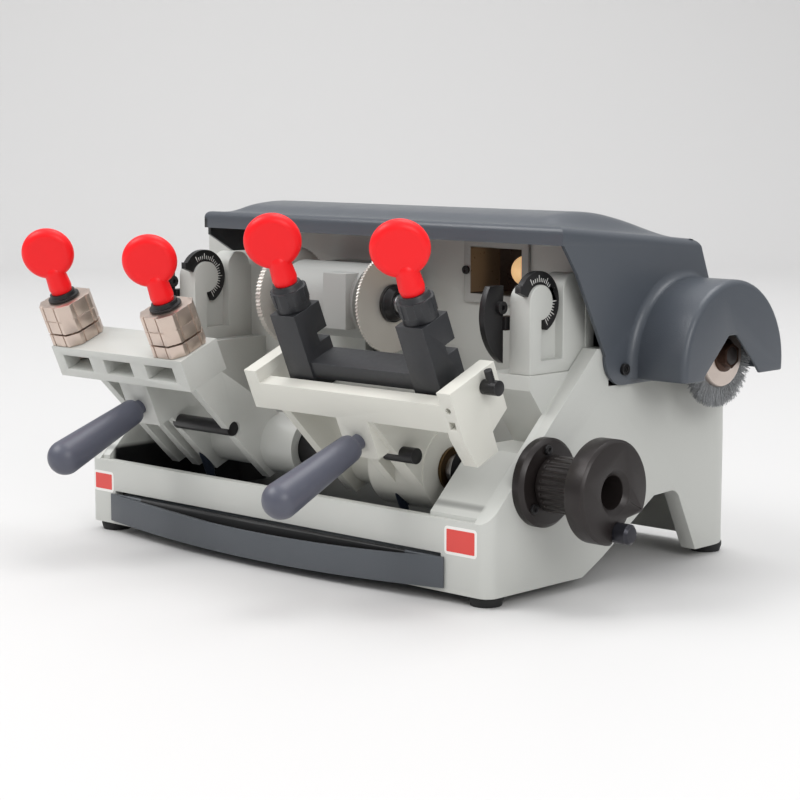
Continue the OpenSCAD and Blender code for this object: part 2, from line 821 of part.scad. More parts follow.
// A folded rubber sleeve round the shaft
module bellows(x0, x1) {
    folds = round((x1 - x0) / 7);
    step = (x1 - x0) / folds;
    difference() {
        for (i = [0:folds - 1]) {
            mid = x0 + (i + 0.5) * step;
            cone_x(shaft_r + 2.5, shaft_r + 8, mid - step / 2, mid, shaft_y, shaft_z);
            cone_x(shaft_r + 8, shaft_r + 2.5, mid, mid + step / 2, shaft_y, shaft_z);
        }
        bar_x(shaft_r + gap, x0 - 1, x1 + 1, shaft_y, shaft_z);
    }
}

module end_bellows() {
    color([0.07, 0.07, 0.08]) row() bellows(right_hub_x1 + bush_t + travel + 1, shoulder_r - gap);
}

// A sleeve that hides the shaft between the two carriages
module shaft_sleeve() {
    color([0.07, 0.07, 0.08]) row() difference() {
        union() {
            bar_x(sleeve_r, sleeve_x0, right_hub_x0 - bush_t - gap, shaft_y, shaft_z);
            bar_x(sleeve_r + 1.5, right_hub_x0 - bush_t - 8, right_hub_x0 - bush_t, shaft_y, shaft_z);
        }
        bar_x(shaft_r + gap, sleeve_x0 - 1, right_hub_x0, shaft_y, shaft_z);
    }
}

module wheel_flange() {
    color([0.1, 0.1, 0.1]) row() difference() {
        union() {
            bar_x(flange_r, hw, hw + 6, shaft_y, shaft_z);
            cone_x(flange_r, flange_r - 3, hw + 6, hw + 9, shaft_y, shaft_z);
            bar_x(boss_r, hw, hw + boss_l, shaft_y, shaft_z);
        }
        bar_x(shaft_r + run, hw - 1, hw + 7, shaft_y, shaft_z);
    }
}

boss_r = 14;
boss_l = 40;

module handwheel() {
    x1 = hw + wheel_out;
    color([0.16, 0.13, 0.12]) row() difference() {
        union() {
            bar_x(wheel_r, x1 - wheel_t, x1 - 2, shaft_y, shaft_z);
            cone_x(wheel_r, wheel_r - 2, x1 - 2, x1, shaft_y, shaft_z);
            bar_x(wheel_neck_r, hw + 12, x1 - wheel_t, shaft_y, shaft_z);
        }
        bar_x(boss_r + run, hw + 11, hw + boss_l + 1, shaft_y, shaft_z);
        bar_x(wheel_hole_r, hw + boss_l + 2, x1 + 1, shaft_y, shaft_z);
        cone_x(wheel_hole_r, wheel_hole_r + 4, x1 - 3, x1 + 0.01, shaft_y, shaft_z);
        for (a = [0:15:345]) translate([0, shaft_y, shaft_z]) rotate([a, 0, 0])
            bar_x(1.6, hw + 16, x1 - wheel_t - 4, wheel_neck_r + 0.6, 0);
        translate([0, shaft_y, shaft_z]) rotate([crank_turn, 0, 0]) {
            bar_x(crank_r + gap, x1 - wheel_t - 1, x1 + 1, 0, -crank_y);
            block([x1 - wheel_t - 1, -crank_r - gap, -wheel_r - 1],
                  [x1 + 1, crank_r + gap, -crank_y]);
            block([x1 - wheel_t + wheel_back, 0, -wheel_r - 1],
                  [x1 + 1, wheel_r, -crank_y + crank_r + gap]);
        }
        translate([0, shaft_y, shaft_z]) rotate([-117, 0, 0])
            block([x1 - 0.6, -0.4, wheel_hole_r + 6], [x1 + 1, 0.4, wheel_r - 4]);
    }
}

crank_turn = 8;
wheel_back = 4;
wheel_neck_r = 21;
crank_y = wheel_r - crank_r - 1;

module crank_pin() {
    x1 = hw + wheel_out;
    color([0.22, 0.24, 0.3]) row() translate([0, shaft_y, shaft_z]) rotate([crank_turn, 0, 0]) {
        bar_x(crank_r, x1 - wheel_t - 16, x1 + crank_out - 2, 0, -crank_y);
        cone_x(crank_r, crank_r - 2, x1 + crank_out - 2, x1 + crank_out, 0, -crank_y);
    }
}

/* ---- Swarf tray ---- */

module tray_front(x0, x1, h) {
    half = (x1 - x0) / 2;
    bow_r = (half * half + tray_bow * tray_bow) / (2 * tray_bow);
    linear_extrude(h) intersection() {
        translate([(x0 + x1) / 2, bow_r - tray_bow - 2]) circle(bow_r, $fn = 240);
        translate([x0, -tray_bow - 3]) square([x1 - x0, tray_bow + 2.5]);
    }
}

module swarf_tray() {
    x0 = tray_x0 + gap;
    x1 = tray_x1 - gap;
    color([0.42, 0.43, 0.46]) row() translate([0, 0, tray_z0]) difference() {
        union() {
            tray_front(x0 - 4, x1 + 4, tray_h);
            block([x0, -1, 0], [x1, tray_d, tray_h - 2]);
        }
        block([x0 + 2, wall_t + 2, 2], [x1 - 2, tray_d - 2, tray_h + 1]);
    }
}

/* ---- Left carriage ---- */

bush_t = 3;

// A plate that joins a carriage's top to its hub, standing across the shaft
module carriage_web(x, top_w, front_u) {
    profile_x(x, x + web_t) polygon([
        [front_u, top_w],
        [front_u + 30, top_w],
        [hub_r - 6, 12],
        [hub_r - 6, -8],
        [0, -hub_r + 2],
        [-24, -hub_r + 2],
        [-32, 0],
    ]);
}

module hub(x0, x1) {
    bar_x(hub_r, x0, x1);
}

module left_carriage() {
    color([0.73, 0.74, 0.71]) row() leaning() difference() {
        union() {
            block([plate_x0, plate_u0, plate_top - plate_h], [plate_x1, plate_u1, plate_top]);
            hub(left_hub_x0, plate_x1 - 4);
            bar_x(hub_r + 4, plate_x1 - 4, left_hub_x1);
            for (x = [left_hub_x0 + 8, left_mid - 14, left_mid + 8, plate_x1 - web_t])
                carriage_web(x, plate_top - plate_h + 1, plate_u0 + 4);
            block([left_mid - 16, plate_u0 + 6, handle_w - 16],
                  [left_mid + 18, plate_u1, plate_top - plate_h + 1]);
        }
        bar_x(shaft_r + bush_t + run, left_hub_x0 - 1, cup_x0 + 1);
        bar_x(sleeve_r + gap, cup_x0, left_hub_x1 + 1);
        for (i = [0:2]) block([plate_x0 + 12 + 52 * i, plate_u0 - 1, plate_top - plate_h + 7],
                              [plate_x0 + 46 + 52 * i, plate_u0 + 22, plate_top - 7]);
        for (x = [jaw_a_x, jaw_b_x])
            translate([x, jaw_u, plate_top - 20]) cylinder(r = stud_r + run, h = 30);
        translate([left_mid + 1, plate_u0, handle_w]) rotate([-90, 0, 0]) cylinder(r = 6 + run, h = 26);
        bar_x(rod_r + run, left_mid + 12, plate_x1 + 1, rod_u, rod_w);
        translate([left_stop_x, stop_u, -30]) cylinder(r = 4 + run, h = 60);
    }
}

rod_r = 6;
rod_u = -42;
rod_w = 36;
left_stop_x = left_mid + 12.5;
right_stop_x = yoke_mid - 12.5;

module left_rod() {
    color([0.12, 0.1, 0.1]) row() leaning() {
        bar_x(rod_r, left_mid + 13, plate_x1 - 2, rod_u, rod_w);
    }
}

stud_r = 6;
stop_u = -28;

// A handle: a steel rod with a plastic grip that swells towards its end
module handle(x, w) {
    translate([x, 0, w]) rotate([90, 0, 0]) {
        translate([0, 0, -plate_u0 - 18]) cylinder(r = 6, h = 20);
        translate([0, 0, -plate_u0]) cylinder(r1 = grip_root_r - 1, r2 = grip_root_r, h = 3);
        translate([0, 0, -plate_u0 + 3]) cylinder(r1 = grip_root_r, r2 = grip_end_r, h = handle_l - 15);
        translate([0, 0, -plate_u0 - 12 + handle_l]) sphere(r = grip_end_r);
    }
}

module left_handle() {
    color([0.4, 0.4, 0.44]) row() leaning() handle(left_mid + 1, handle_w);
}

module right_handle() {
    color([0.4, 0.4, 0.44]) row() leaning() handle(yoke_mid, right_handle_w);
}

// A sleeve bearing between a carriage and the shaft, with a rim at each end
module bushing(x0, x1) {
    difference() {
        union() {
            bar_x(shaft_r + bush_t, x0 - bush_t, x1 + bush_t);
            for (x = [x0 - bush_t, x1 + gap]) bar_x(shaft_r + bush_t + 3, x, x + bush_t - gap);
        }
        bar_x(shaft_r + run, x0 - bush_t - 1, x1 + bush_t + 1);
    }
}

module left_bushing() {
    color([0.62, 0.5, 0.3]) row() leaning() difference() {
        union() {
            bar_x(shaft_r + bush_t, left_hub_x0 - bush_t, cup_x0);
            bar_x(shaft_r + bush_t + 3, left_hub_x0 - bush_t, left_hub_x0 - gap);
        }
        bar_x(shaft_r + run, left_hub_x0 - bush_t - 1, cup_x0 + 1);
    }
}

module right_bushing() {
    color([0.62, 0.5, 0.3]) row() leaning() bushing(right_hub_x0, right_hub_x1);
}

module stop_screw(x) {
    translate([x, stop_u, -26]) {
        cylinder(r = 3, h = 5);
        translate([0, 0, 5]) cylinder(r = 4, h = 36);
    }
}

module left_stop_screw() {
    color([0.3, 0.32, 0.38]) row() leaning() stop_screw(left_stop_x);
}

module right_stop_screw() {
    color([0.3, 0.32, 0.38]) row() leaning() stop_screw(right_stop_x);
}

module jaw_lower(x) {
    translate([x, jaw_u, jaw_floor]) {
        difference() {
            linear_extrude(jaw_low_h) cut_square(jaw_w, jaw_cut);
            for (a = [0:90:270], s = [-1, 1]) rotate([0, 0, a])
                block([s * 7 - 0.7, jaw_w / 2 - 0.9, -1], [s * 7 + 0.7, jaw_w / 2 + 1, jaw_low_h + 1]);
            for (a = [0:90:270]) rotate([0, 0, a])
                block([-jaw_w, jaw_w / 2 - (a > 90 ? 6 : 8), jaw_low_h - key_seat],
                      [jaw_w, jaw_w, jaw_low_h + 1]);
        }
        translate([0, 0, -18]) cylinder(r = stud_r, h = 18);
        translate([0, 0, jaw_low_h]) cylinder(r = stud_r, h = jaw_up_h + collar_h + 10);
    }
}

module jaw_upper(x) {
    translate([x, jaw_u, jaw_floor + jaw_low_h + gap]) difference() {
        linear_extrude(jaw_up_h) cut_square(jaw_w, jaw_cut);
        translate([0, 0, -1]) cylinder(r = stud_r + run, h = jaw_up_h + 2);
        for (a = [0:90:270], s = [-1, 1]) rotate([0, 0, a])
            block([s * 7 - 0.7, jaw_w / 2 - 0.9, -1], [s * 7 + 0.7, jaw_w / 2 + 1, jaw_up_h + 1]);
        for (a = [0:90:270]) rotate([0, 0, a])
            block([-jaw_w, jaw_w / 2 - 0.6, jaw_up_h * 0.45], [jaw_w, jaw_w, jaw_up_h * 0.45 + 0.8]);
    }
}

module jaw_a_lower() {
    color([0.66, 0.6, 0.55]) row() leaning() jaw_lower(jaw_a_x);
}

module jaw_b_lower() {
    color([0.66, 0.6, 0.55]) row() leaning() jaw_lower(jaw_b_x);
}

module jaw_a_upper() {
    color([0.66, 0.6, 0.55]) row() leaning() jaw_upper(jaw_a_x);
}

module jaw_b_upper() {
    color([0.66, 0.6, 0.55]) row() leaning() jaw_upper(jaw_b_x);
}

collar_w = jaw_floor + jaw_low_h + gap + jaw_up_h;

module jaw_collar(x) {
    translate([x, jaw_u, collar_w]) difference() {
        union() {
            cylinder(r = 13, h = 2.5);
            translate([0, 0, 2.5]) cylinder(r = 10.5, h = collar_h - 2.5);
        }
        translate([0, 0, -1]) cylinder(r = stud_r + run, h = collar_h + 2);
    }
}

module jaw_a_collar() {
    color([0.08, 0.08, 0.08]) row() leaning() jaw_collar(jaw_a_x);
}

module jaw_b_collar() {
    color([0.08, 0.08, 0.08]) row() leaning() jaw_collar(jaw_b_x);
}

// A knob shaped like a flat lamp bulb, screwed on a stud
module knob(x, u, w, turn) {
    disc_w = neck_h + knob_r - 4;
    translate([x, u, w]) rotate([0, 0, turn]) difference() {
        union() {
            cylinder(r1 = 8.5, r2 = 9.5, h = 4);
            translate([0, 0, 4]) cylinder(r1 = 9.5, r2 = 8.5, h = neck_h - 4);
            translate([0, 0, neck_h]) sphere(r = 8.5);
            translate([0, 0, disc_w]) rotate([90, 0, 0]) knob_disc();
        }
        translate([0, 0, -1]) cylinder(r = stud_r + run, h = 14);
    }
}

// The round grip of a knob, its rim turned over
module knob_disc() {
    rim = knob_t / 2;
    rotate_extrude() {
        translate([0, -rim]) square([knob_r - rim, knob_t]);
        intersection() {
            translate([knob_r - rim, 0]) circle(rim);
            translate([0, -rim]) square([knob_r + 1, knob_t]);
        }
    }
}

module knob_a() {
    color([0.93, 0.12, 0.13]) row() leaning() knob(jaw_a_x, jaw_u, collar_w + collar_h, 40);
}

module knob_b() {
    color([0.93, 0.12, 0.13]) row() leaning() knob(jaw_b_x, jaw_u, collar_w + collar_h, 40);
}

/* ---- Right carriage ---- */

module right_carriage() {
    ear_u1 = arm_u1 + 8;
    low = bar_top - bar_h;
    color([0.82, 0.81, 0.77]) row() leaning() difference() {
        union() {
            block([yoke_x0, -62, low], [yoke_x1, -50, bar_top]);
            block([yoke_x0, -52, low], [yoke_x1, arm_u1, low + floor_h]);
            profile_x(yoke_x0, yoke_x0 + ear_t) polygon([
                [-62, low],
                [-62, ear_top],
                [ear_u1, ear_top],
                [ear_u1, low - 2],
                [-40, low - 14],
            ]);
            profile_x(yoke_x1 - ear_t, yoke_x1) polygon([
                [-62, low - 6],
                [-62, ear_top],
                [ear_u1, ear_top],
                [ear_u1, low - 6],
                [-32, low - 14],
                [-32, low - 30],
                [-56, low - 30],
            ]);
            hub(right_hub_x0, right_hub_x1);
            bar_x(drum_r, drum_x0, right_hub_x1);
            for (x = [right_hub_x0 + 1, yoke_mid - 17, yoke_mid + 6, right_hub_x1 - web_t - 1])
                carriage_web(x, low + 1, -62);
            block([yoke_mid - 17, -62, right_handle_w - 14], [yoke_mid + 15, -36, low + 1]);
        }
        profile_x(drum_x0 - 1, right_hub_x1 + 1)
            polygon([[hub_r, 0], [60, 60], [60, -60], [12, -60], [hub_r, -20]]);
        bar_x(shaft_r + bush_t + run, right_hub_x0 - 1, right_hub_x1 + 1);
        translate([yoke_mid, plate_u0, right_handle_w]) rotate([-90, 0, 0]) cylinder(r = 6 + run, h = 26);
        bar_x(rod_r + run, yoke_mid + 3, right_hub_x1 + 1, rod_u, rod_w);
        translate([right_stop_x, stop_u, -40]) cylinder(r = 4 + run, h = 70);
        bar_x(4 + run, yoke_x1 - ear_t - 1, yoke_x1 + 1, wing_u, wing_w);
        translate([yoke_x1 - ear_t / 2, -63, ear_top - 14]) rotate([-90, 0, 0]) cylinder(r = 2.5, h = 10);
        block([yoke_x1 - ear_t / 2 - 3, -63, ear_top - 29], [yoke_x1 - ear_t / 2 + 3, -56, ear_top - 23]);
    }
}

wing_u = -28;
wing_w = ear_top - 12;

module right_rod() {
    color([0.12, 0.1, 0.1]) row() leaning() bar_x(rod_r, yoke_mid + 4, right_hub_x1 + 12, rod_u, rod_w);
}

// The black bracket whose two arms hold the clamp heads
module clamp_bracket() {
    x0 = head_c_x - arm_w / 2;
    x1 = head_d_x + arm_w / 2;
    seat = bar_top - bar_h + floor_h + gap;
    color([0.13, 0.13, 0.14]) row() leaning() difference() {
        union() {
            block([x0, arm_u0, seat], [x0 + arm_w, arm_u1, arm_top]);
            block([x1 - arm_w, arm_u0, seat], [x1, arm_u1, arm_top]);
            block([x0 + arm_w - 1, arm_u0 + 2, bar_top], [x1 - arm_w + 1, arm_u1, bar_top + cross_h]);
        }
        for (x = [head_c_x, head_d_x]) {
            translate([x, head_u, arm_top - 28]) cylinder(r = stud_r + run, h = 30);
            block([x - arm_w, arm_u1 - key_slot, key_w],
                  [x + arm_w, arm_u1 + 1, key_w + key_slot_h]);
        }
    }
}

head_h = 20;
key_slot = 11;
key_slot_h = 7.5;
key_w = arm_top - 29;
head_stud = 22;

// A clamp head with flats round its rim, and the stud that it slides on
module clamp_head(x) {
    translate([x, head_u, arm_top + gap]) difference() {
        union() {
            cylinder(r = 13, h = 5);
            translate([0, 0, 5]) cylinder(r = 14, h = head_h - 9);
            translate([0, 0, head_h - 4]) cylinder(r1 = 12, r2 = 10.5, h = 4);
            translate([0, 0, -head_stud]) cylinder(r = stud_r, h = head_stud + head_h + 11);
        }
        for (a = [0:45:315]) rotate([0, 0, a]) block([13.2, -2.4, 4], [15, 2.4, head_h - 3]);
    }
}

module clamp_head_c() {
    color([0.12, 0.12, 0.13]) row() leaning() clamp_head(head_c_x);
}

module clamp_head_d() {
    color([0.12, 0.12, 0.13]) row() leaning() clamp_head(head_d_x);
}

module knob_c() {
    color([0.93, 0.12, 0.13]) row() leaning() knob(head_c_x, head_u, arm_top + gap + head_h, 40);
}

module knob_d() {
    color([0.93, 0.12, 0.13]) row() leaning() knob(head_d_x, head_u, arm_top + gap + head_h, 40);
}

module wing_bolt() {
    color([0.1, 0.1, 0.1]) row() leaning() {
        bar_x(4, yoke_x1 - ear_t + 2, yoke_x1 + gap, wing_u, wing_w);
        bar_x(5.5, yoke_x1 + gap, yoke_x1 + 14, wing_u, wing_w);
        translate([yoke_x1 + 8, wing_u, wing_w]) cylinder(r = 3, h = 14);
    }
}

/* ---- Tracers ---- */

boss_y = spindle_y - 5;
boss_z = spindle_z + 10;
arm_boss_r = 13;
dial_r = 23;
dial_t = 5;
arm_x = 8;
tongue_z = spindle_z - 6;

// The arm that carries a tracer: a round-topped block with a neck back to the head
module tracer_arm(x0) {
    face_y = boss_y - arm_boss_r;
    difference() {
        union() {
            block([x0, face_y, buttress_z], [x0 + 20, boss_y, boss_z]);
            bar_x(arm_boss_r, x0, x0 + 20, boss_y, boss_z);
            block([x0, face_y, buttress_z], [x0 + 12, head_y, boss_z]);
            block([x0, face_y, buttress_z], [x0 + 20, head_y, buttress_z + 10]);
            block([x0, boss_y + dial_r + 2, buttress_z], [x0 + 20, head_y, boss_z + 8]);
            bar_x(12, x0, x0 + 20, boss_y + dial_r + 14, boss_z + 8);
        }
        block([x0 - 1, boss_y - 11.4, tongue_z - 5 - gap], [x0 + 8, boss_y - 0.6, tongue_z + 5 + gap]);
    }
}

module left_tracer_arm() {
    color([0.75, 0.76, 0.73]) row() tracer_arm(tracer_a_x + arm_x);
}

module right_tracer_arm() {
    color([0.75, 0.76, 0.73]) row() tracer_arm(tracer_d_x + arm_x);
}

// A graduated half ring that turns on the arm's boss to set the tracer
module dial(x0) {
    difference() {
        union() {
            bar_x(dial_r, x0 + 12 + gap, x0 + 12 + gap + dial_t, boss_y, boss_z);
            translate([x0 + 12 + gap, boss_y - dial_r + 1.5, boss_z + 7]) cube([dial_t, 6, 6]);
        }
        bar_x(arm_boss_r + run, x0 + 12, x0 + 24, boss_y, boss_z);
        profile_x(x0 + 11, x0 + 24) polygon([
            [boss_y, boss_z],
            [boss_y + 60 * cos(160), boss_z + 60 * sin(160)],
            [boss_y - 60, boss_z - 60],
            [boss_y + 60 * cos(-66), boss_z + 60 * sin(-66)],
        ]);
        for (i = [-8:16]) translate([0, boss_y, boss_z]) rotate([7.5 * i, 0, 0])
            block([x0 + 17.1 + gap - 0.3, 15, -0.35], [x0 + 18 + gap, i % 4 == 0 ? 20 : 18, 0.35]);
    }
}

module left_dial() {
    color([0.1, 0.1, 0.1]) row() dial(tracer_a_x + arm_x);
}

module right_dial() {
    color([0.1, 0.1, 0.1]) row() dial(tracer_d_x + arm_x);
}

// A tracer blade with the same edge radius as the cutters, on a tongue in the arm
module tracer(x, t) {
    intersection() {
        bar_x(cutter_r, x - t / 2, x + t / 2, spindle_y, spindle_z);
        block([x - t, spindle_y - cutter_r - 1, spindle_z - 40], [x + t, boss_y - 13.5, spindle_z + 22]);
    }
    block([x - t / 2, boss_y - 15, tongue_z - 5], [x + arm_x - 2, boss_y - 3, tongue_z + 5]);
    block([x, boss_y - 9, tongue_z - 5], [x + arm_x + 7, boss_y - 3, tongue_z + 5]);
    difference() {
        bar_x(4.8, x + t / 2, x + t / 2 + 4, boss_y - 18, spindle_z + 6);
        bar_x(2, x + t / 2 + 1.5, x + t / 2 + 5, boss_y - 18, spindle_z + 6);
    }
}

module left_tracer() {
    color([0.12, 0.12, 0.12]) row() tracer(tracer_a_x, flat_cutter_t);
}

module right_tracer() {
    color([0.12, 0.12, 0.12]) row() tracer(tracer_d_x, 5);
}

base_casting();
rubber_feet();
spindle_head();
spindle_bearings();
top_cover();
fixing_screws();
brush_guard();
main_shaft();
end_bellows();
wheel_flange();
motor_body();
drive_belt();
lamp_frame();
lamp_lens();
left_tracer_arm();
right_tracer_arm();
power_inlet();
switch_housing();
switch_rocker();
swarf_tray();
spindle_shaft();
flat_cutter();
bit_cutter();
cutter_nuts();
spindle_pulley();
motor_shaft();
motor_pulley();
brush_plate();
brush_bristles();
left_bushing();
left_carriage();
left_handle();
left_rod();
left_stop_screw();
jaw_a_lower();
jaw_a_upper();
jaw_a_collar();
knob_a();
jaw_b_lower();
jaw_b_upper();
jaw_b_collar();
knob_b();
right_bushing();
shaft_sleeve();
right_carriage();
right_handle();
right_rod();
right_stop_screw();
clamp_bracket();
clamp_head_c();
knob_c();
clamp_head_d();
knob_d();
wing_bolt();
handwheel();
crank_pin();
left_dial();
left_tracer();
right_dial();
right_tracer();
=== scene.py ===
import json
import math
import bpy
import bmesh
from mathutils import Vector, Matrix

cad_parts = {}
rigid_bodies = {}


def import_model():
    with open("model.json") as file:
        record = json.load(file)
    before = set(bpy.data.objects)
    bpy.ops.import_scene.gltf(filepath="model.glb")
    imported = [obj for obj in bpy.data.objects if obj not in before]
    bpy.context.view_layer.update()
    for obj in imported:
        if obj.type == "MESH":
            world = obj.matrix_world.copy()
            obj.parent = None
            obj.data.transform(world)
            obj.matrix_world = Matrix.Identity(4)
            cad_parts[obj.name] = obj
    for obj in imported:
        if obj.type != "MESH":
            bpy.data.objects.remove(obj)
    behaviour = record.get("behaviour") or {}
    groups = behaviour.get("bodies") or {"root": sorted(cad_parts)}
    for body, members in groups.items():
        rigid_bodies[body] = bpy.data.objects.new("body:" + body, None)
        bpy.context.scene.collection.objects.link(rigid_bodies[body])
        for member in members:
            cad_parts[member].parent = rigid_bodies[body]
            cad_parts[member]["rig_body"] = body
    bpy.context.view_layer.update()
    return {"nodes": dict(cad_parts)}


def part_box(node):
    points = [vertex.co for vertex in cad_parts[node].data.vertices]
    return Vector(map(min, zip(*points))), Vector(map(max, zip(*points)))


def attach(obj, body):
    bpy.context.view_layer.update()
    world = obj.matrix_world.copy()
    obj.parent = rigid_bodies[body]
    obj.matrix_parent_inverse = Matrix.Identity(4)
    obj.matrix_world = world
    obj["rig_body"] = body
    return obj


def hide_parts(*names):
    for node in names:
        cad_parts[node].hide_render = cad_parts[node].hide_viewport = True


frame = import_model()
nodes = frame["nodes"]
scene = bpy.context.scene
bodyOf = {n: o["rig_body"] for n, o in nodes.items()}
print("frame loaded:", len(nodes), "nodes")

# the machine is measured in mm from its own centre line and front wall, and the frame's origin
# lies at middle
middle = {"x": 40.0, "y": 97.1607}
shaft = {"y": 58.0, "z": 87.0}
spindle = {"y": 80.0, "z": 206.0}
motor = {"y": 238.0, "z": 168.0}


def at(x, y, z):
    return Vector((x - middle["x"], y - middle["y"], z)) * 0.001


def tint(r, g, b):  # a screen colour, 0 to 255, as the shader wants it
    def lin(c):
        c = c / 255
        return c / 12.92 if c <= 0.04045 else ((c + 0.055) / 1.055) ** 2.4
    return (lin(r), lin(g), lin(b), 1.0)


def linked(name, data):  # a new object in the scene
    thing = bpy.data.objects.new(name, data)
    scene.collection.objects.link(thing)
    return thing


def meshFrom(work, name, turnOut=True):
    if turnOut:
        bmesh.ops.recalc_face_normals(work, faces=work.faces)
    mesh = bpy.data.meshes.new(name)
    work.to_mesh(mesh)
    work.free()
    return mesh


def prism(work, places):  # two outlines with walls between them, closed at both ends
    rows = [[work.verts.new(place) for place in row] for row in places]
    count = len(rows[0])
    for i in range(count):
        j = (i + 1) % count
        work.faces.new((rows[0][i], rows[0][j], rows[1][j], rows[1][i]))
    work.faces.new(rows[0][::-1])
    work.faces.new(rows[1])


# camera
view = {"place": (1191.4, -1107.8, 348.6), "tilt": 82.4, "turn": 43.5, "lens": 94.5}
camera = linked("viewCamera", bpy.data.cameras.new("viewCamera"))
camera.location = at(*view["place"])
camera.rotation_euler = (math.radians(view["tilt"]), 0, math.radians(view["turn"]))
camera.data.lens = view["lens"]
camera.data.sensor_width = 36
camera.data.clip_end = 60
scene.camera = camera
scene.view_settings.view_transform = "Standard"


# shader groups, each built once and used by several finishes
def newGroup(name, inputs, outputs):
    group = bpy.data.node_groups.new(name, "ShaderNodeTree")
    for label, kind, value in inputs:
        socket = group.interface.new_socket(label, in_out="INPUT", socket_type=kind)
        socket.default_value = value
    for label, kind in outputs:
        group.interface.new_socket(label, in_out="OUTPUT", socket_type=kind)
    return group, group.nodes.new("NodeGroupInput").outputs, group.nodes.new("NodeGroupOutput")


def wire(tree, source, target):
    tree.links.new(source, target)


def calc(tree, kind, a, b=None, clamp=False):
    node = tree.nodes.new("ShaderNodeMath")
    node.operation = kind
    node.use_clamp = clamp
    for socket, value in zip(node.inputs, (a, b)):
        if value is None:
            continue
        if isinstance(value, (int, float)):
            socket.default_value = value
        else:
            wire(tree, value, socket)
    return node.outputs[0]


def times(tree, a, b, clamp=False):
    return calc(tree, "MULTIPLY", a, b, clamp)


def plus(tree, a, b, clamp=False):
    return calc(tree, "ADD", a, b, clamp)


def objectPlace(tree):
    return tree.nodes.new("ShaderNodeTexCoord").outputs["Object"]


def spread(tree, value, low, high, toLow=0.0, toHigh=1.0):
    node = tree.nodes.new("ShaderNodeMapRange")
    wire(tree, value, node.inputs["Value"])
    pairs = (("From Min", low), ("From Max", high), ("To Min", toLow), ("To Max", toHigh))
    for label, amount in pairs:
        if isinstance(amount, (int, float)):
            node.inputs[label].default_value = amount
        else:
            wire(tree, amount, node.inputs[label])
    return node.outputs["Result"]


def noise(tree, place, scale, detail=3.0, rough=0.5):
    node = tree.nodes.new("ShaderNodeTexNoise")
    wire(tree, place, node.inputs["Vector"])
    if isinstance(scale, (int, float)):
        node.inputs["Scale"].default_value = scale
    else:
        wire(tree, scale, node.inputs["Scale"])
    node.inputs["Detail"].default_value = detail
    node.inputs["Roughness"].default_value = rough
    return node.outputs["Fac"]


number, colour = "NodeSocketFloat", "NodeSocketColor"


def makeToneGroup():  # slow changes of shade and of gloss over a surface
    group, given, out = newGroup("surfaceTone", [
        ("Colour", colour, (0.5, 0.5, 0.5, 1)), ("Change", number, 0.05),
        ("Size", number, 18.0), ("Roughness", number, 0.5), ("Spread", number, 0.08),
    ], [("Colour", colour), ("Roughness", number)])
    place = objectPlace(group)
    slow = noise(group, place, given["Size"], 4.0, 0.55)
    shade = calc(group, "SUBTRACT", slow, 0.5)
    shade = times(group, shade, given["Change"])
    shade = plus(group, times(group, shade, 2.0), 1.0)
    scaled = group.nodes.new("ShaderNodeVectorMath")
    scaled.operation = "SCALE"
    wire(group, given["Colour"], scaled.inputs[0])
    wire(group, shade, scaled.inputs["Scale"])
    wire(group, scaled.outputs[0], out.inputs["Colour"])
    fine = noise(group, place, times(group, given["Size"], 6.0), 3.0, 0.6)
    change = times(group, calc(group, "SUBTRACT", fine, 0.5), given["Spread"])
    change = times(group, change, 2.0)
    total = plus(group, given["Roughness"], change, True)
    wire(group, total, out.inputs["Roughness"])
    return group


def makeWearGroup():  # a mask of the edges that hands and chips rub
    group, given, out = newGroup("edgeWear", [
        ("Width", number, 0.0015), ("Amount", number, 0.5), ("Breakup", number, 120.0),
    ], [("Mask", number)])
    place = objectPlace(group)
    bevel = group.nodes.new("ShaderNodeBevel")
    bevel.samples = 4
    wire(group, given["Width"], bevel.inputs["Radius"])
    dot = group.nodes.new("ShaderNodeVectorMath")
    dot.operation = "DOT_PRODUCT"
    wire(group, bevel.outputs["Normal"], dot.inputs[0])
    wire(group, group.nodes.new("ShaderNodeNewGeometry").outputs["Normal"], dot.inputs[1])
    edge = spread(group, dot.outputs["Value"], 0.995, 0.86)
    rub = spread(group, noise(group, place, given["Breakup"], 5.0, 0.7), 0.38, 0.62)
    mask = times(group, times(group, edge, rub), given["Amount"], True)
    wire(group, mask, out.inputs["Mask"])
    return group


def makeGrainGroup():  # height of a moulded or painted skin
    group, given, out = newGroup("skinGrain", [
        ("Size", number, 900.0), ("Pits", number, 0.3),
    ], [("Height", number)])
    place = objectPlace(group)
    cells = group.nodes.new("ShaderNodeTexVoronoi")
    wire(group, place, cells.inputs["Vector"])
    wire(group, given["Size"], cells.inputs["Scale"])
    peel = noise(group, place, times(group, given["Size"], 0.6), 2.0, 0.5)
    pits = times(group, cells.outputs["Distance"], given["Pits"])
    wire(group, plus(group, peel, pits), out.inputs["Height"])
    return group


def makeDustGroup():  # fine dust and metal powder that settles on what faces up
    group, given, out = newGroup("settledDust", [
        ("Amount", number, 0.1), ("Size", number, 40.0),
    ], [("Mask", number)])
    place = objectPlace(group)
    split = group.nodes.new("ShaderNodeSeparateXYZ")
    wire(group, group.nodes.new("ShaderNodeNewGeometry").outputs["Normal"], split.inputs[0])
    up = spread(group, split.outputs["Z"], 0.4, 1.0)
    patch = spread(group, noise(group, place, given["Size"], 5.0, 0.65), 0.35, 0.75)
    mask = times(group, times(group, up, patch), given["Amount"], True)
    wire(group, mask, out.inputs["Mask"])
    return group


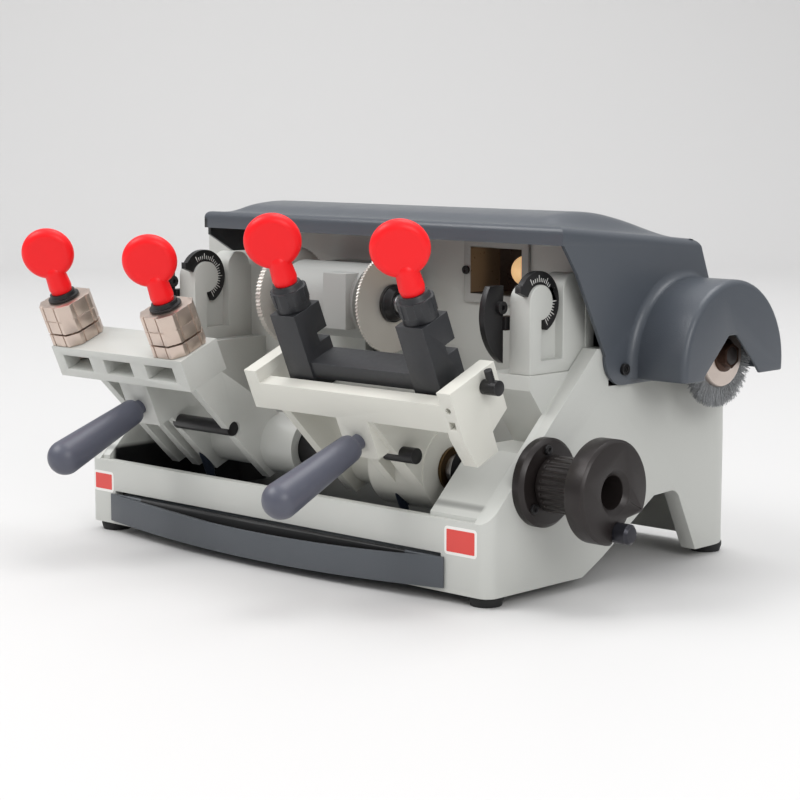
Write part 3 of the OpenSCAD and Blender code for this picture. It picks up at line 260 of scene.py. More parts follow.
def makeLatheGroup():  # turning marks round an axis that runs along X
    group, given, out = newGroup("turnedLines", [
        ("Axis Y", number, 0.0), ("Axis Z", number, 0.0), ("Lines", number, 2500.0),
    ], [("Height", number), ("Sheen", number)])
    place = objectPlace(group)
    split = group.nodes.new("ShaderNodeSeparateXYZ")
    wire(group, place, split.inputs[0])
    dy = calc(group, "SUBTRACT", split.outputs["Y"], given["Axis Y"])
    dz = calc(group, "SUBTRACT", split.outputs["Z"], given["Axis Z"])
    square = plus(group, times(group, dy, dy), times(group, dz, dz))
    reach = plus(group, calc(group, "SQRT", square), split.outputs["X"])
    rings = group.nodes.new("ShaderNodeTexNoise")
    rings.noise_dimensions = "1D"
    wire(group, times(group, reach, given["Lines"]), rings.inputs["W"])
    rings.inputs["Scale"].default_value = 1.0
    rings.inputs["Detail"].default_value = 2.0
    wire(group, rings.outputs["Fac"], out.inputs["Height"])
    angle = calc(group, "ARCTAN2", dy, dz)
    bands = times(group, calc(group, "SINE", times(group, angle, 2.0)), 0.5)
    wire(group, plus(group, bands, 0.5), out.inputs["Sheen"])
    return group


def makeScratchGroup():  # long fine lines left by grinding or drawing
    group, given, out = newGroup("groundLines", [
        ("Along X", number, 60.0), ("Along Y", number, 2400.0), ("Along Z", number, 2400.0),
    ], [("Height", number)])
    place = objectPlace(group)
    split = group.nodes.new("ShaderNodeSeparateXYZ")
    joined = group.nodes.new("ShaderNodeCombineXYZ")
    wire(group, place, split.inputs[0])
    for axis in "XYZ":
        scaled = times(group, split.outputs[axis], given["Along " + axis])
        wire(group, scaled, joined.inputs[axis])
    wire(group, noise(group, joined.outputs[0], 1.0, 3.0, 0.6), out.inputs["Height"])
    return group


def makeRegionGroup():  # a mask that is 1 inside a box in the frame
    group, given, out = newGroup("regionMask", [
        ("Low", "NodeSocketVector", (0, 0, 0)), ("High", "NodeSocketVector", (0, 0, 0)),
        ("Soft", number, 0.002),
    ], [("Mask", number)])
    place = objectPlace(group)
    total = None
    for corner, order in (("Low", 1), ("High", -1)):
        away = group.nodes.new("ShaderNodeVectorMath")
        away.operation = "SUBTRACT"
        wire(group, place, away.inputs[0])
        wire(group, given[corner], away.inputs[1])
        split = group.nodes.new("ShaderNodeSeparateXYZ")
        wire(group, away.outputs[0], split.inputs[0])
        for axis in "XYZ":
            depth = calc(group, "DIVIDE", split.outputs[axis], given["Soft"])
            depth = plus(group, times(group, depth, order), 0.5, True)
            total = depth if total is None else times(group, total, depth)
    wire(group, total, out.inputs["Mask"])
    return group


groups = {
    "tone": makeToneGroup(), "wear": makeWearGroup(), "grain": makeGrainGroup(),
    "dust": makeDustGroup(), "lathe": makeLatheGroup(), "scratch": makeScratchGroup(),
    "region": makeRegionGroup(),
}
print("shader groups made:", len(groups))


def useGroup(tree, key, **values):
    node = tree.nodes.new("ShaderNodeGroup")
    node.node_tree = groups[key]
    for label, value in values.items():
        node.inputs[label.replace("_", " ")].default_value = value
    return node


def mixColour(tree, mask, a, b):
    node = tree.nodes.new("ShaderNodeMix")
    node.data_type = "RGBA"
    wire(tree, mask, node.inputs["Factor"])
    for socket, value in ((node.inputs[6], a), (node.inputs[7], b)):
        if isinstance(value, tuple):
            socket.default_value = value
        else:
            wire(tree, value, socket)
    return node.outputs[2]


# what a finish has where it says nothing else
usual = dict(metal=0.0, specular=0.5, change=0.05, patch=18.0, spread=0.08, wearWidth=0.0015,
             breakup=160.0, dustColour=tint(176, 174, 168), soft=0.002, grain=900.0, pits=0.3,
             depth=0.15, step=0.0002, sheen=0.08, lines=0.1, coatRough=0.2)


def makeFinish(name, look):
    look = {**usual, **look}
    material = bpy.data.materials.new(name)
    material.use_nodes = True
    material.diffuse_color = look["colour"]
    tree = material.node_tree
    shader = tree.nodes["Principled BSDF"]
    shader.inputs["Metallic"].default_value = look["metal"]
    shader.inputs["Specular IOR Level"].default_value = look["specular"]
    tone = useGroup(tree, "tone", Colour=look["colour"], Change=look["change"],
                    Size=look["patch"], Roughness=look["rough"], Spread=look["spread"])
    base, rough = tone.outputs["Colour"], tone.outputs["Roughness"]
    if "wear" in look:
        wear = useGroup(tree, "wear", Width=look["wearWidth"], Amount=look["wear"],
                        Breakup=look["breakup"])
        base = mixColour(tree, wear.outputs["Mask"], base, look["worn"])
    if "dust" in look:
        dust = useGroup(tree, "dust", Amount=look["dust"])
        base = mixColour(tree, dust.outputs["Mask"], base, look["dustColour"])
    if "region" in look:
        low, high, inner, metal = look["region"]
        region = useGroup(tree, "region", Low=tuple(at(*low)), High=tuple(at(*high)),
                          Soft=look["soft"])
        base = mixColour(tree, region.outputs["Mask"], base, inner)
        if metal is not None:
            level = spread(tree, region.outputs["Mask"], 0.0, 1.0, look["metal"], metal)
            wire(tree, level, shader.inputs["Metallic"])
    wire(tree, base, shader.inputs["Base Color"])
    if "turned" in look:
        y, z, lines = look["turned"]
        mark = useGroup(tree, "lathe", Axis_Y=y, Axis_Z=z, Lines=lines)
        rough = plus(tree, rough, times(tree, mark.outputs["Sheen"], look["sheen"]), True)
    elif "ground" in look:
        x, y, z = look["ground"]
        mark = useGroup(tree, "scratch", Along_X=x, Along_Y=y, Along_Z=z)
        rough = plus(tree, rough, times(tree, mark.outputs["Height"], look["lines"]), True)
    else:
        mark = useGroup(tree, "grain", Size=look["grain"], Pits=look["pits"])
    wire(tree, rough, shader.inputs["Roughness"])
    bump = tree.nodes.new("ShaderNodeBump")
    bump.inputs["Strength"].default_value = look["depth"]
    bump.inputs["Distance"].default_value = look["step"]
    wire(tree, mark.outputs["Height"], bump.inputs["Height"])
    wire(tree, bump.outputs["Normal"], shader.inputs["Normal"])
    # painted light: a boxed region glows with emission, standing in for lamplight falling on the
    # surface
    if "glow" in look:
        low, high, warm, soft, power = look["glow"]
        lampLight = useGroup(tree, "region", Low=tuple(at(*low)), High=tuple(at(*high)), Soft=soft)
        wire(tree, mixColour(tree, lampLight.outputs["Mask"], (0, 0, 0, 1), warm),
             shader.inputs["Emission Color"])
        shader.inputs["Emission Strength"].default_value = power
    if "coat" in look:
        shader.inputs["Coat Weight"].default_value = look["coat"]
        shader.inputs["Coat Roughness"].default_value = look["coatRough"]
    return material


shaftAxis = tuple(at(0, shaft["y"], shaft["z"])[1:])
spindleAxis = tuple(at(0, spindle["y"], spindle["z"])[1:])
motorAxis = tuple(at(0, motor["y"], motor["z"])[1:])

# one grey paint for the castings: painted shade darkens the base inside its chip bay, and painted
# shade darkens the spindle housing under the cover
cast = dict(colour=tint(194, 195, 190), rough=0.4, spread=0.1, patch=9.0, grain=700.0, pits=0.15,
            depth=0.22, wear=0.22, worn=tint(214, 215, 210), dust=0.05)
# painted shade: the inside of the chip bay, behind the front wall and under the carriages, is
# painted near black
bayShade = ((-213.5, 9.5, 8), (213.5, 126.5, 72), tint(20, 20, 21), None)
# painted shade: the spindle housing under the cover is painted darker
housing = ((-80, 30, 160), (80, 112, 252), tint(160, 161, 158), None)

# region is two corners in machine mm, the colour inside them and the metal there
finishes = {
    "castPaint": cast,
    "baseShadedPaint": dict(cast, region=bayShade, soft=0.004),
    "headShadedPaint": dict(cast, region=housing, soft=0.01),
    "paleCast": dict(colour=tint(212, 211, 202), rough=0.45, spread=0.1, patch=14.0, grain=700.0,
                     pits=0.2, depth=0.25, wear=0.25, worn=tint(228, 227, 220), dust=0.05),
    "coverSkin": dict(colour=tint(74, 79, 86), rough=0.32, spread=0.06, patch=6.0, grain=1300.0,
                      pits=0.9, depth=0.25, step=0.0003, wear=0.12, worn=tint(112, 118, 126),
                      # painted shade: the cover's left end is painted near black where it lies in
                      # shadow
                      region=((-170, 60, 140), (-157.4, 134, 266), tint(24, 25, 27), None)),
    "traySlate": dict(colour=tint(78, 82, 87), rough=0.46, change=0.06, patch=10.0,
                      grain=1100.0, pits=0.6, depth=0.3, wear=0.2, worn=tint(128, 132, 138),
                      # painted shade: the hollow behind the tray's lip is painted near black
                      region=((-158, -4.2, 14), (146, 0.5, 36), tint(18, 18, 19), None),
                      soft=0.0004),
    "rubberBlack": dict(colour=tint(30, 30, 31), rough=0.72, change=0.12, grain=1500.0, depth=0.3),
    "blackenedSteel": dict(colour=tint(34, 33, 34), rough=0.36, spread=0.12, metal=0.35,
                           change=0.15, patch=60.0, grain=1500.0, pits=0.1, depth=0.1, wear=0.55,
                           worn=tint(96, 95, 96), wearWidth=0.0009),
    "groundSteel": dict(colour=tint(176, 176, 178), rough=0.26, spread=0.1, metal=1.0,
                        change=0.06, ground=(80.0, 2600.0, 2600.0), depth=0.08),
    "cutterSteel": dict(colour=tint(214, 209, 202), rough=0.36, spread=0.02, metal=0.7, change=0.04,
                        turned=(*spindleAxis, 3200.0), depth=0.05),
    "satinNickel": dict(colour=tint(210, 193, 181), rough=0.31, spread=0.04, metal=0.95,
                        change=0.06, patch=30.0, ground=(2200.0, 2200.0, 160.0), depth=0.16,
                        wear=0.5, worn=tint(226, 216, 208), wearWidth=0.001),
    "oiledBronze": dict(colour=tint(92, 74, 50), rough=0.42, metal=0.9, change=0.12,
                        turned=(*shaftAxis, 2600.0), depth=0.12),
    "redGrip": dict(colour=tint(248, 20, 27), rough=0.4, spread=0.05, change=0.03, patch=30.0,
                    grain=500.0, pits=0.05, depth=0.08, specular=0.35),
    "slateGrip": dict(colour=tint(82, 84, 96), rough=0.4, spread=0.06, change=0.04, pits=0.2,
                      depth=0.12, wear=0.15, worn=tint(122, 124, 134)),
    "brushWire": dict(colour=tint(172, 174, 176), rough=0.42, metal=0.5, change=0.3, patch=900.0,
                      ground=(900.0, 900.0, 900.0), depth=0.1),
    "lampBronze": dict(colour=tint(168, 168, 164), rough=0.3, change=0.1, patch=40.0, depth=0.1,
                       region=((99.4, 122, 213.9), (151.6, 170, 250.1), tint(62, 50, 42), 0.7),
                       # painted light: a warm pool of lamplight near the bulb is painted on the
                       # frame's back wall as emission
                       soft=0.0004, glow=((136, 150, 228), (150, 175, 240),
                                          (1.0, 0.57, 0.28, 1.0), 0.022, 0.7)),
    "decalWhite": dict(colour=tint(236, 234, 230), rough=0.35, change=0.03, grain=600.0, depth=0.04,
                       coat=0.3),
    "decalRed": dict(colour=tint(216, 62, 54), rough=0.35, change=0.04, grain=600.0, depth=0.04,
                     coat=0.3),
    "pinkZinc": dict(colour=tint(208, 195, 186), rough=0.32, metal=1.0, change=0.1, patch=60.0,
                     turned=(*motorAxis, 2400.0), depth=0.16,
                     region=((260.2, 220, 150), (275, 256, 186), tint(70, 50, 40), 0.8),
                     soft=0.0003),
    "motorPaint": dict(colour=tint(60, 62, 66), rough=0.5, change=0.1, depth=0.2),
    "blackPlastic": dict(colour=tint(26, 26, 28), rough=0.42, change=0.08, grain=1300.0, pits=0.5,
                         depth=0.2),
    "rockerRed": dict(colour=tint(176, 26, 22), rough=0.25, change=0.03, grain=600.0, depth=0.05,
                      coat=0.4),
    "bluedSteel": dict(colour=tint(62, 70, 86), rough=0.32, metal=0.7, change=0.2, patch=120.0,
                       ground=(1800.0, 300.0, 1800.0), depth=0.12, wear=0.4,
                       worn=tint(128, 134, 146)),
    "crankSteel": dict(colour=tint(48, 48, 54), rough=0.3, metal=0.6, change=0.2, patch=120.0,
                       turned=(*shaftAxis, 2200.0), depth=0.1, wear=0.5, worn=tint(124, 122, 124),
                       wearWidth=0.001),
    "brownedSteel": dict(colour=tint(38, 33, 32), rough=0.34, spread=0.1, metal=0.3, change=0.14,
                         turned=(*shaftAxis, 2200.0), depth=0.1, wear=0.4, worn=tint(92, 84, 80),
                         wearWidth=0.001),
    "darkBracket": dict(colour=tint(36, 37, 40), rough=0.45, spread=0.1, change=0.12, patch=40.0,
                        grain=1100.0, depth=0.22, wear=0.35, worn=tint(84, 86, 90)),
    "scaleWhite": dict(colour=tint(226, 226, 222), rough=0.5, depth=0.1),
    "beltRubber": dict(colour=tint(24, 24, 24), rough=0.7, change=0.1, grain=1200.0, depth=0.2),
}
paint = {name: makeFinish(name, look) for name, look in finishes.items()}
print("finishes made:", len(paint))

# lamp glass glows a little, most at its middle
glow = {"glass": tint(255, 214, 150), "light": (1.0, 0.62, 0.3, 1.0), "power": 0.55}
lampGlass = bpy.data.materials.new("lampGlass")
lampGlass.use_nodes = True
tree = lampGlass.node_tree
shader = tree.nodes["Principled BSDF"]
shader.inputs["Emission Strength"].default_value = glow["power"]
skin = useGroup(tree, "tone", Colour=glow["glass"], Change=0.1, Size=90.0, Roughness=0.25,
                Spread=0.1)
lampLight = useGroup(tree, "tone", Colour=glow["light"], Change=0.35, Size=70.0)
wire(tree, skin.outputs["Colour"], shader.inputs["Base Color"])
wire(tree, skin.outputs["Roughness"], shader.inputs["Roughness"])
wire(tree, lampLight.outputs["Colour"], shader.inputs["Emission Color"])
paint["lampGlass"] = lampGlass


def newPiece(name, mesh, material, body, replaced=(), smooth=None):
    piece = linked(name, mesh)
    mesh.materials.clear()
    mesh.materials.append(paint[material])
    for polygon in mesh.polygons:
        polygon.material_index = 0
        polygon.use_smooth = True
    if smooth is not None:
        mesh.set_sharp_from_angle(angle=math.radians(smooth))
    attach(piece, body)
    if replaced:
        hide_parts(*replaced)
    return piece


def baked(source):  # the evaluated object as a plain mesh
    graph = bpy.context.evaluated_depsgraph_get()
    mesh = bpy.data.meshes.new_from_object(source.evaluated_get(graph), depsgraph=graph)
    bpy.data.objects.remove(source)
    return mesh


def carved(mesh, blade):  # takes one closed mesh out of another
    holder, knife = linked("holder", mesh), linked("knife", blade)
    cut = holder.modifiers.new("cut", "BOOLEAN")
    cut.operation = "DIFFERENCE"
    cut.solver = "EXACT"
    cut.object = knife
    result = baked(holder)
    bpy.data.objects.remove(knife)
    return result


def machine(place):  # back from the frame to the machine's own mm
    return (place[0] * 1000 + middle["x"], place[1] * 1000 + middle["y"], place[2] * 1000)


def weighEdges(mesh, widths, widest):  # a wider rounding for the edges that widths picks
    layer = mesh.attributes.new("bevel_weight_edge", "FLOAT", "EDGE")
    places = [machine(v.co) for v in mesh.vertices]
    count = 0
    for edge in mesh.edges:
        a, b = (places[i] for i in edge.vertices)
        wide = widths(a, b)
        layer.data[edge.index].value = wide / widest
        count += wide > 0
    return count


rounding = {"limit": 32, "widest": 8.0, "wideSegments": 6, "merge": 2e-6, "flat": 0.03}


def softened(node, material, edge, segments=2, name=None, widths=None, trim=None):
    mesh = nodes[node].data.copy()
    if trim:
        mesh = trim(mesh)
    work = bmesh.new()
    work.from_mesh(mesh)
    bmesh.ops.remove_doubles(work, verts=work.verts, dist=rounding["merge"])
    bmesh.ops.dissolve_limit(work, angle_limit=math.radians(rounding["flat"]), verts=work.verts,
                             edges=work.edges, use_dissolve_boundaries=False)
    if node == "power_inlet":  # its front is a ring, which rounds better in convex parts
        bmesh.ops.connect_verts_concave(work, faces=work.faces)
    work.to_mesh(mesh)
    work.free()
    holder = linked("holder", mesh)
    if widths:
        count = weighEdges(mesh, widths, rounding["widest"])
        wider = holder.modifiers.new("wide", "BEVEL")
        wider.width = rounding["widest"] * 0.001
        wider.segments = rounding["wideSegments"]
        wider.limit_method = "WEIGHT"
        wider.use_clamp_overlap = False
        wider.miter_outer = "MITER_SHARP"
        print("wide edges on", node, count)
    bevel = holder.modifiers.new("edge", "BEVEL")
    bevel.width = edge * 0.001
    bevel.segments = segments
    bevel.limit_method = "ANGLE"
    bevel.angle_limit = math.radians(rounding["limit"])
    bevel.use_clamp_overlap = True
    bevel.miter_outer = "MITER_ARC"
    result = baked(holder)
    return newPiece(name or node.replace("_", "") + "Skin", result, material, bodyOf[node],
                    [node], smooth=rounding["limit"] - 2)


# pieces that keep their shape and get rounded edges: finish, width in mm and segments
edges = {
    "base_casting": ("baseShadedPaint", 1.6, 3), "spindle_head": ("headShadedPaint", 1.6, 3),
    "left_carriage": ("castPaint", 1.4, 3), "right_carriage": ("paleCast", 1.4, 3),
    "left_tracer_arm right_tracer_arm": ("castPaint", 1.4, 3),
    "swarf_tray": ("traySlate", 1.2, 3), "clamp_bracket": ("darkBracket", 0.9, 2),
    "clamp_head_c clamp_head_d": ("darkBracket", 0.6, 2),
    "jaw_a_lower jaw_a_upper jaw_b_lower jaw_b_upper": ("satinNickel", 0.4, 2),
    "jaw_a_collar jaw_b_collar": ("blackenedSteel", 0.5, 2),
    "handwheel wheel_flange": ("brownedSteel", 0.5, 2),
    "left_handle right_handle": ("slateGrip", 0.6, 2),
    "knob_a knob_b knob_c knob_d": ("redGrip", 1.6, 4),
    "left_dial right_dial": ("blackenedSteel", 0.25, 1),
    "left_tracer right_tracer": ("blackenedSteel", 0.3, 2),
    "rubber_feet": ("rubberBlack", 0.8, 3), "motor_body": ("motorPaint", 0.8, 2),
    "lamp_frame": ("lampBronze", 0.6, 2), "power_inlet switch_housing": ("blackPlastic", 0.6, 2),
    "switch_rocker": ("rockerRed", 0.8, 3), "shaft_sleeve": ("blackenedSteel", 0.6, 2),
    "left_bushing right_bushing": ("oiledBronze", 0.3, 1), "wing_bolt": ("blackenedSteel", 0.5, 2),
    "left_rod right_rod": ("blackenedSteel", 0.6, 2),
    "left_stop_screw right_stop_screw": ("bluedSteel", 0.4, 2),
    "crank_pin": ("crankSteel", 0.8, 3), "cutter_nuts": ("blackenedSteel", 0.4, 2),
    "flat_cutter": ("cutterSteel", 0.15, 1), "bit_cutter": ("cutterSteel", 0.12, 1),
    "brush_plate": ("pinkZinc", 0.4, 2), "main_shaft spindle_shaft": ("groundSteel", 0.4, 2),
    "motor_shaft": ("brownedSteel", 0.4, 2),
    "spindle_pulley motor_pulley": ("groundSteel", 0.3, 1),
}


def bowTray(mesh):  # the tray's front is hollow behind its lip and sags a little to its middle
    bow = {"radius": 1350.7, "tip": -15.0, "middle": -6.0, "reach": 168.0, "lip": 2.6,
           "wall": -1.3, "floor": 17.0, "above": 36.0, "steps": 28}
    sag = {"top": 5.6, "foot": 4.2, "middle": -6.0, "half": 187.0, "front": -0.6, "part": 22.0}
    outline = []
    for i in range(bow["steps"] + 1):
        x = bow["reach"] * (2 * i / bow["steps"] - 1)
        y = bow["tip"] + bow["radius"] - math.sqrt(bow["radius"] ** 2 - x * x)
        outline.append((bow["middle"] + x, y + bow["lip"]))
    outline.append((bow["middle"] + bow["reach"], bow["wall"]))
    outline.append((bow["middle"] - bow["reach"], bow["wall"]))
    work = bmesh.new()
    prism(work, [[at(x, y, z) for x, y in outline] for z in (bow["floor"], bow["above"])])
    mesh = carved(mesh, meshFrom(work, "blade"))
    for vertex in mesh.vertices:
        x, y, z = machine(vertex.co)
        if y < sag["front"]:
            share = (x - sag["middle"]) / sag["half"]
            depth = sag["top"] if z > sag["part"] else sag["foot"]
            vertex.co.z -= 0.001 * depth * max(0.0, 1 - share * share)
    return mesh


shaped = {"swarf_tray": bowTray}
for alike, (material, edge, segments) in edges.items():
    for node in alike.split():
        softened(node, material, edge, segments, trim=shaped.get(node))
print("softened pieces ready")

plain = {"spindle_bearings": "groundSteel", "drive_belt": "beltRubber", "lamp_lens": "lampGlass"}
for node, material in plain.items():
    data = nodes[node].data
    data.materials.clear()
    data.materials.append(paint[material])

# the cover: its outer edges are rounded well over, and a smooth crown lies on its flat top
cover = {"left": -161.0, "right": 230.4, "front": 76.0, "back": 245.4, "foot": 289.4,
         "top": 272.0, "fall": 16.0, "swell": 14.0, "crownFront": 84.0, "crownBack": 241.4,
         "leftRun": 34.0, "rightRun": 30.0, "waist": 228.0, "rightEdge": 7.0, "leftEdge": 3.0,
         "frontEdge": 3.5, "backEdge": 8.0}
guard = {"y": 225.0, "z": 162.0, "reach": 66.0, "face": 280.4, "floor": 154.0, "edge": 5.0,
         "round": 6.5, "end": 48, "steps": 8, "turns": 72, "bite": 0.6, "proud": 0.06}


def flatTop(y):
    return cover["top"] - cover["fall"] * (y - cover["front"]) / (cover["back"] - cover["front"])


def trimCrown(mesh):  # takes the stepped crown off, level with the flat top
    lift, front, back = 0.04, cover["crownFront"] - 4, cover["back"] + 2
    outline = [(front, flatTop(front) + lift), (back, flatTop(back) + lift), (back, 300),
               (front, 300)]
    work = bmesh.new()
    prism(work, [[at(x, y, z) for y, z in outline]
                 for x in (cover["left"] - 5, cover["right"] + 5)])
    return carved(mesh, meshFrom(work, "blade"))


def coverEdges(a, b):  # the width of the rounding along an edge from a to b
    def on(axis, value, slack=0.15):
        return abs(a[axis] - value) < slack and abs(b[axis] - value) < slack
    alongTop = all(abs(c[2] - flatTop(c[1])) < 0.3 for c in (a, b))
    if on(0, cover["right"]) and min(a[2], b[2]) > cover["waist"]:
        atBack = all(c[1] > cover["back"] - 0.5 for c in (a, b))
        if alongTop or atBack and abs(a[2] - b[2]) > 3:
            return cover["rightEdge"]
    if on(0, cover["left"]) and alongTop:
        return cover["leftEdge"]
    if on(1, cover["front"]) and on(2, cover["top"]):
        return cover["frontEdge"]
    if on(1, cover["back"], 0.3) and on(2, flatTop(cover["back"]), 0.3):
        return cover["backEdge"]
    return 0.0


def guardEdges(a, b):
    for c in (a, b):
        away = math.hypot(c[1] - guard["y"], c[2] - guard["z"])
        if abs(c[0] - guard["face"]) > 0.15 or abs(away - guard["reach"]) > 0.3:
            return 0.0
    return guard["edge"]


softened("top_cover", "coverSkin", 1.2, 3, name="coverShell", widths=coverEdges, trim=trimCrown)
softened("brush_guard", "coverSkin", 1.0, 3, name="guardShell", widths=guardEdges)


def ease(t):
    t = min(1.0, max(0.0, t))
    return t * t * t * (t * (6 * t - 15) + 10)


# peak below 1 moves the crown's top forward, and crowd draws its columns to the sides
crown = {"across": 72, "along": 56, "thick": 3.0, "proud": 0.12, "sunk": 0.3, "peak": 0.8,
         "rise": 0.14, "blunt": 0.35, "crowd": 0.06}


def makeCrown():
    x0, x1 = cover["left"] + 4, cover["right"] - 8.5
    y0, y1 = cover["crownFront"] - 3, cover["crownBack"] + 1
    across, along = crown["across"], crown["along"]
    work = bmesh.new()
    upper, lower = [], []
    for j in range(along + 1):
        y = y0 + (y1 - y0) * j / along
        s = (y - y0) / (y1 - y0)
        swell = cover["swell"] * math.sin(math.pi * s ** crown["peak"])
        swell *= ease(s / crown["rise"]) ** crown["blunt"]
        rows = [], []
        for i in range(across + 1):
            u = i / across
            x = x0 + (x1 - x0) * (u - crown["crowd"] * math.sin(2 * math.pi * u))
            side = ease((x - x0) / cover["leftRun"]) * ease((x1 - x) / cover["rightRun"])
            rise = swell * side
            under = max(0.0, rise - crown["thick"])
            rows[0].append(work.verts.new(at(x, y, flatTop(y) + crown["proud"] + rise)))
            rows[1].append(work.verts.new(at(x, y, flatTop(y) - crown["sunk"] + under)))
        upper.append(rows[0])
        lower.append(rows[1])
    for grid, order in ((upper, 1), (lower, -1)):
        for j in range(along):
            for i in range(across):
                corners = (grid[j][i], grid[j][i + 1], grid[j + 1][i + 1], grid[j + 1][i])
                work.faces.new(corners[::order])
    rim = [(0, i) for i in range(across)] + [(j, across) for j in range(along)]
    rim += [(along, i) for i in range(across, 0, -1)] + [(j, 0) for j in range(along, 0, -1)]
    for k, (j, i) in enumerate(rim):
        m, n = rim[(k + 1) % len(rim)]
        work.faces.new((upper[m][n], upper[j][i], lower[j][i], lower[m][n]))
    newPiece("coverCrown", meshFrom(work, "coverCrown"), "coverSkin", "base",
             smooth=40)


makeCrown()


def makeRootFillet():  # the soft corner where the guard grows out of the cover
    start = math.pi - math.asin((guard["floor"] + 0.2 - guard["z"]) / guard["reach"])
    end = math.radians(guard["end"])
    turns, bite, proud = guard["turns"], guard["bite"], guard["proud"]
    work = bmesh.new()
    rings = []
    for k in range(turns + 1):
        angle = start + (end - start) * k / turns
        left = (turns - k) / turns
        size = guard["round"] * min(1.0, 0.06 + ease(left / 0.3))
        outline = [(cover["right"] - bite, guard["reach"] - bite)]
        for i in range(guard["steps"] + 1):
            turn = math.pi / 2 * i / guard["steps"]
            outline.append((cover["right"] + proud + size * (1 - math.cos(turn)),
                            guard["reach"] + proud + size * (1 - math.sin(turn))))
        rings.append([work.verts.new(at(x, guard["y"] + r * math.cos(angle),
                                        guard["z"] + r * math.sin(angle))) for x, r in outline])
    size = len(rings[0])
    for k in range(turns):
        for i in range(size):
            j = (i + 1) % size
            work.faces.new((rings[k][i], rings[k][j], rings[k + 1][j], rings[k + 1][i]))
    work.faces.new(rings[0][::-1])
    work.faces.new(rings[-1])
    newPiece("guardRoot", meshFrom(work, "guardRoot"), "coverSkin", "base",
             smooth=50)


makeRootFillet()
print("cover pieces ready")


# Geometry Nodes trees for what repeats
def newTree(name, sizes):  # sizes holds the named inputs, with metres as decimals
    tree = bpy.data.node_groups.new(name, "GeometryNodeTree")
    tree.interface.new_socket("Geometry", in_out="INPUT", socket_type="NodeSocketGeometry")
    for label, value in sizes.items():
        kind = "NodeSocketInt" if isinstance(value, int) else "NodeSocketFloat"
        socket = tree.interface.new_socket(label, in_out="INPUT", socket_type=kind)
        socket.default_value = value
    tree.interface.new_socket("Material", in_out="INPUT", socket_type="NodeSocketMaterial")
    tree.interface.new_socket("Geometry", in_out="OUTPUT", socket_type="NodeSocketGeometry")
    return tree, tree.nodes.new("NodeGroupInput").outputs, tree.nodes.new("NodeGroupOutput")


def step(tree, kind, links=(), **values):
    node = tree.nodes.new(kind)
    for label, value in values.items():
        setattr(node, label, value)
    for socket, value in links:
        place = node.inputs[socket]
        if isinstance(value, bpy.types.NodeSocket):
            wire(tree, value, place)
        else:
            place.default_value = value
    return node


def vector(tree, x=0.0, y=0.0, z=0.0):
    return step(tree, "ShaderNodeCombineXYZ", [("X", x), ("Y", y), ("Z", z)]).outputs[0]


def chance(tree, low, high, seed):
    node = step(tree, "FunctionNodeRandomValue", data_type="FLOAT")
    for label, value in (("Min", low), ("Max", high)):
        socket = [i for i in node.inputs if i.name == label and i.type == "VALUE"][0]
        if isinstance(value, bpy.types.NodeSocket):
            wire(tree, value, socket)
        else:
            socket.default_value = value
    node.inputs["Seed"].default_value = seed
    return [o for o in node.outputs if o.type == "VALUE"][0]


def finishTree(tree, given, out, shapes):
    real = step(tree, "GeometryNodeRealizeInstances", [("Geometry", shapes)])
    paintIt = step(tree, "GeometryNodeSetMaterial", [("Geometry", real.outputs[0]),
                                                     ("Material", given["Material"])])
    wire(tree, paintIt.outputs[0], out.inputs[0])


def grown(tree, sizes, material, mesh=None, edge=None):  # runs a tree and keeps its plain mesh
    holder = linked("holder", mesh or bpy.data.meshes.new("holder"))
    modifier = holder.modifiers.new("grow", "NODES")
    modifier.node_group = tree
    keys = {item.name: item.identifier for item in tree.interface.items_tree
            if item.item_type == "SOCKET" and item.in_out == "INPUT"}
    for label, value in sizes.items():
        modifier[keys[label]] = value
    modifier[keys["Material"]] = paint[material]
    if edge:
        bevel = holder.modifiers.new("edge", "BEVEL")
        bevel.width = edge * 0.001
        bevel.segments = 2
        bevel.limit_method = "ANGLE"
        bevel.angle_limit = math.radians(40)
    return baked(holder)


goldenAngle = 2.399963
fullTurn = 6.28318

# the wires crowd together at their roots, splay outwards and stray a little from their places
brush = {"Wires": 3000, "Inner Radius": 0.0246, "Outer Radius": 0.0419, "Half Width": 0.005,
         "Wire Radius": 0.00017, "Crimp": 0.0004}
wild = {"place": 0.06, "root": 0.45, "shortest": 0.84, "longest": 0.985, "waves": 15.0,
        "splay": 0.12, "lean": 0.07, "stray": 0.03}


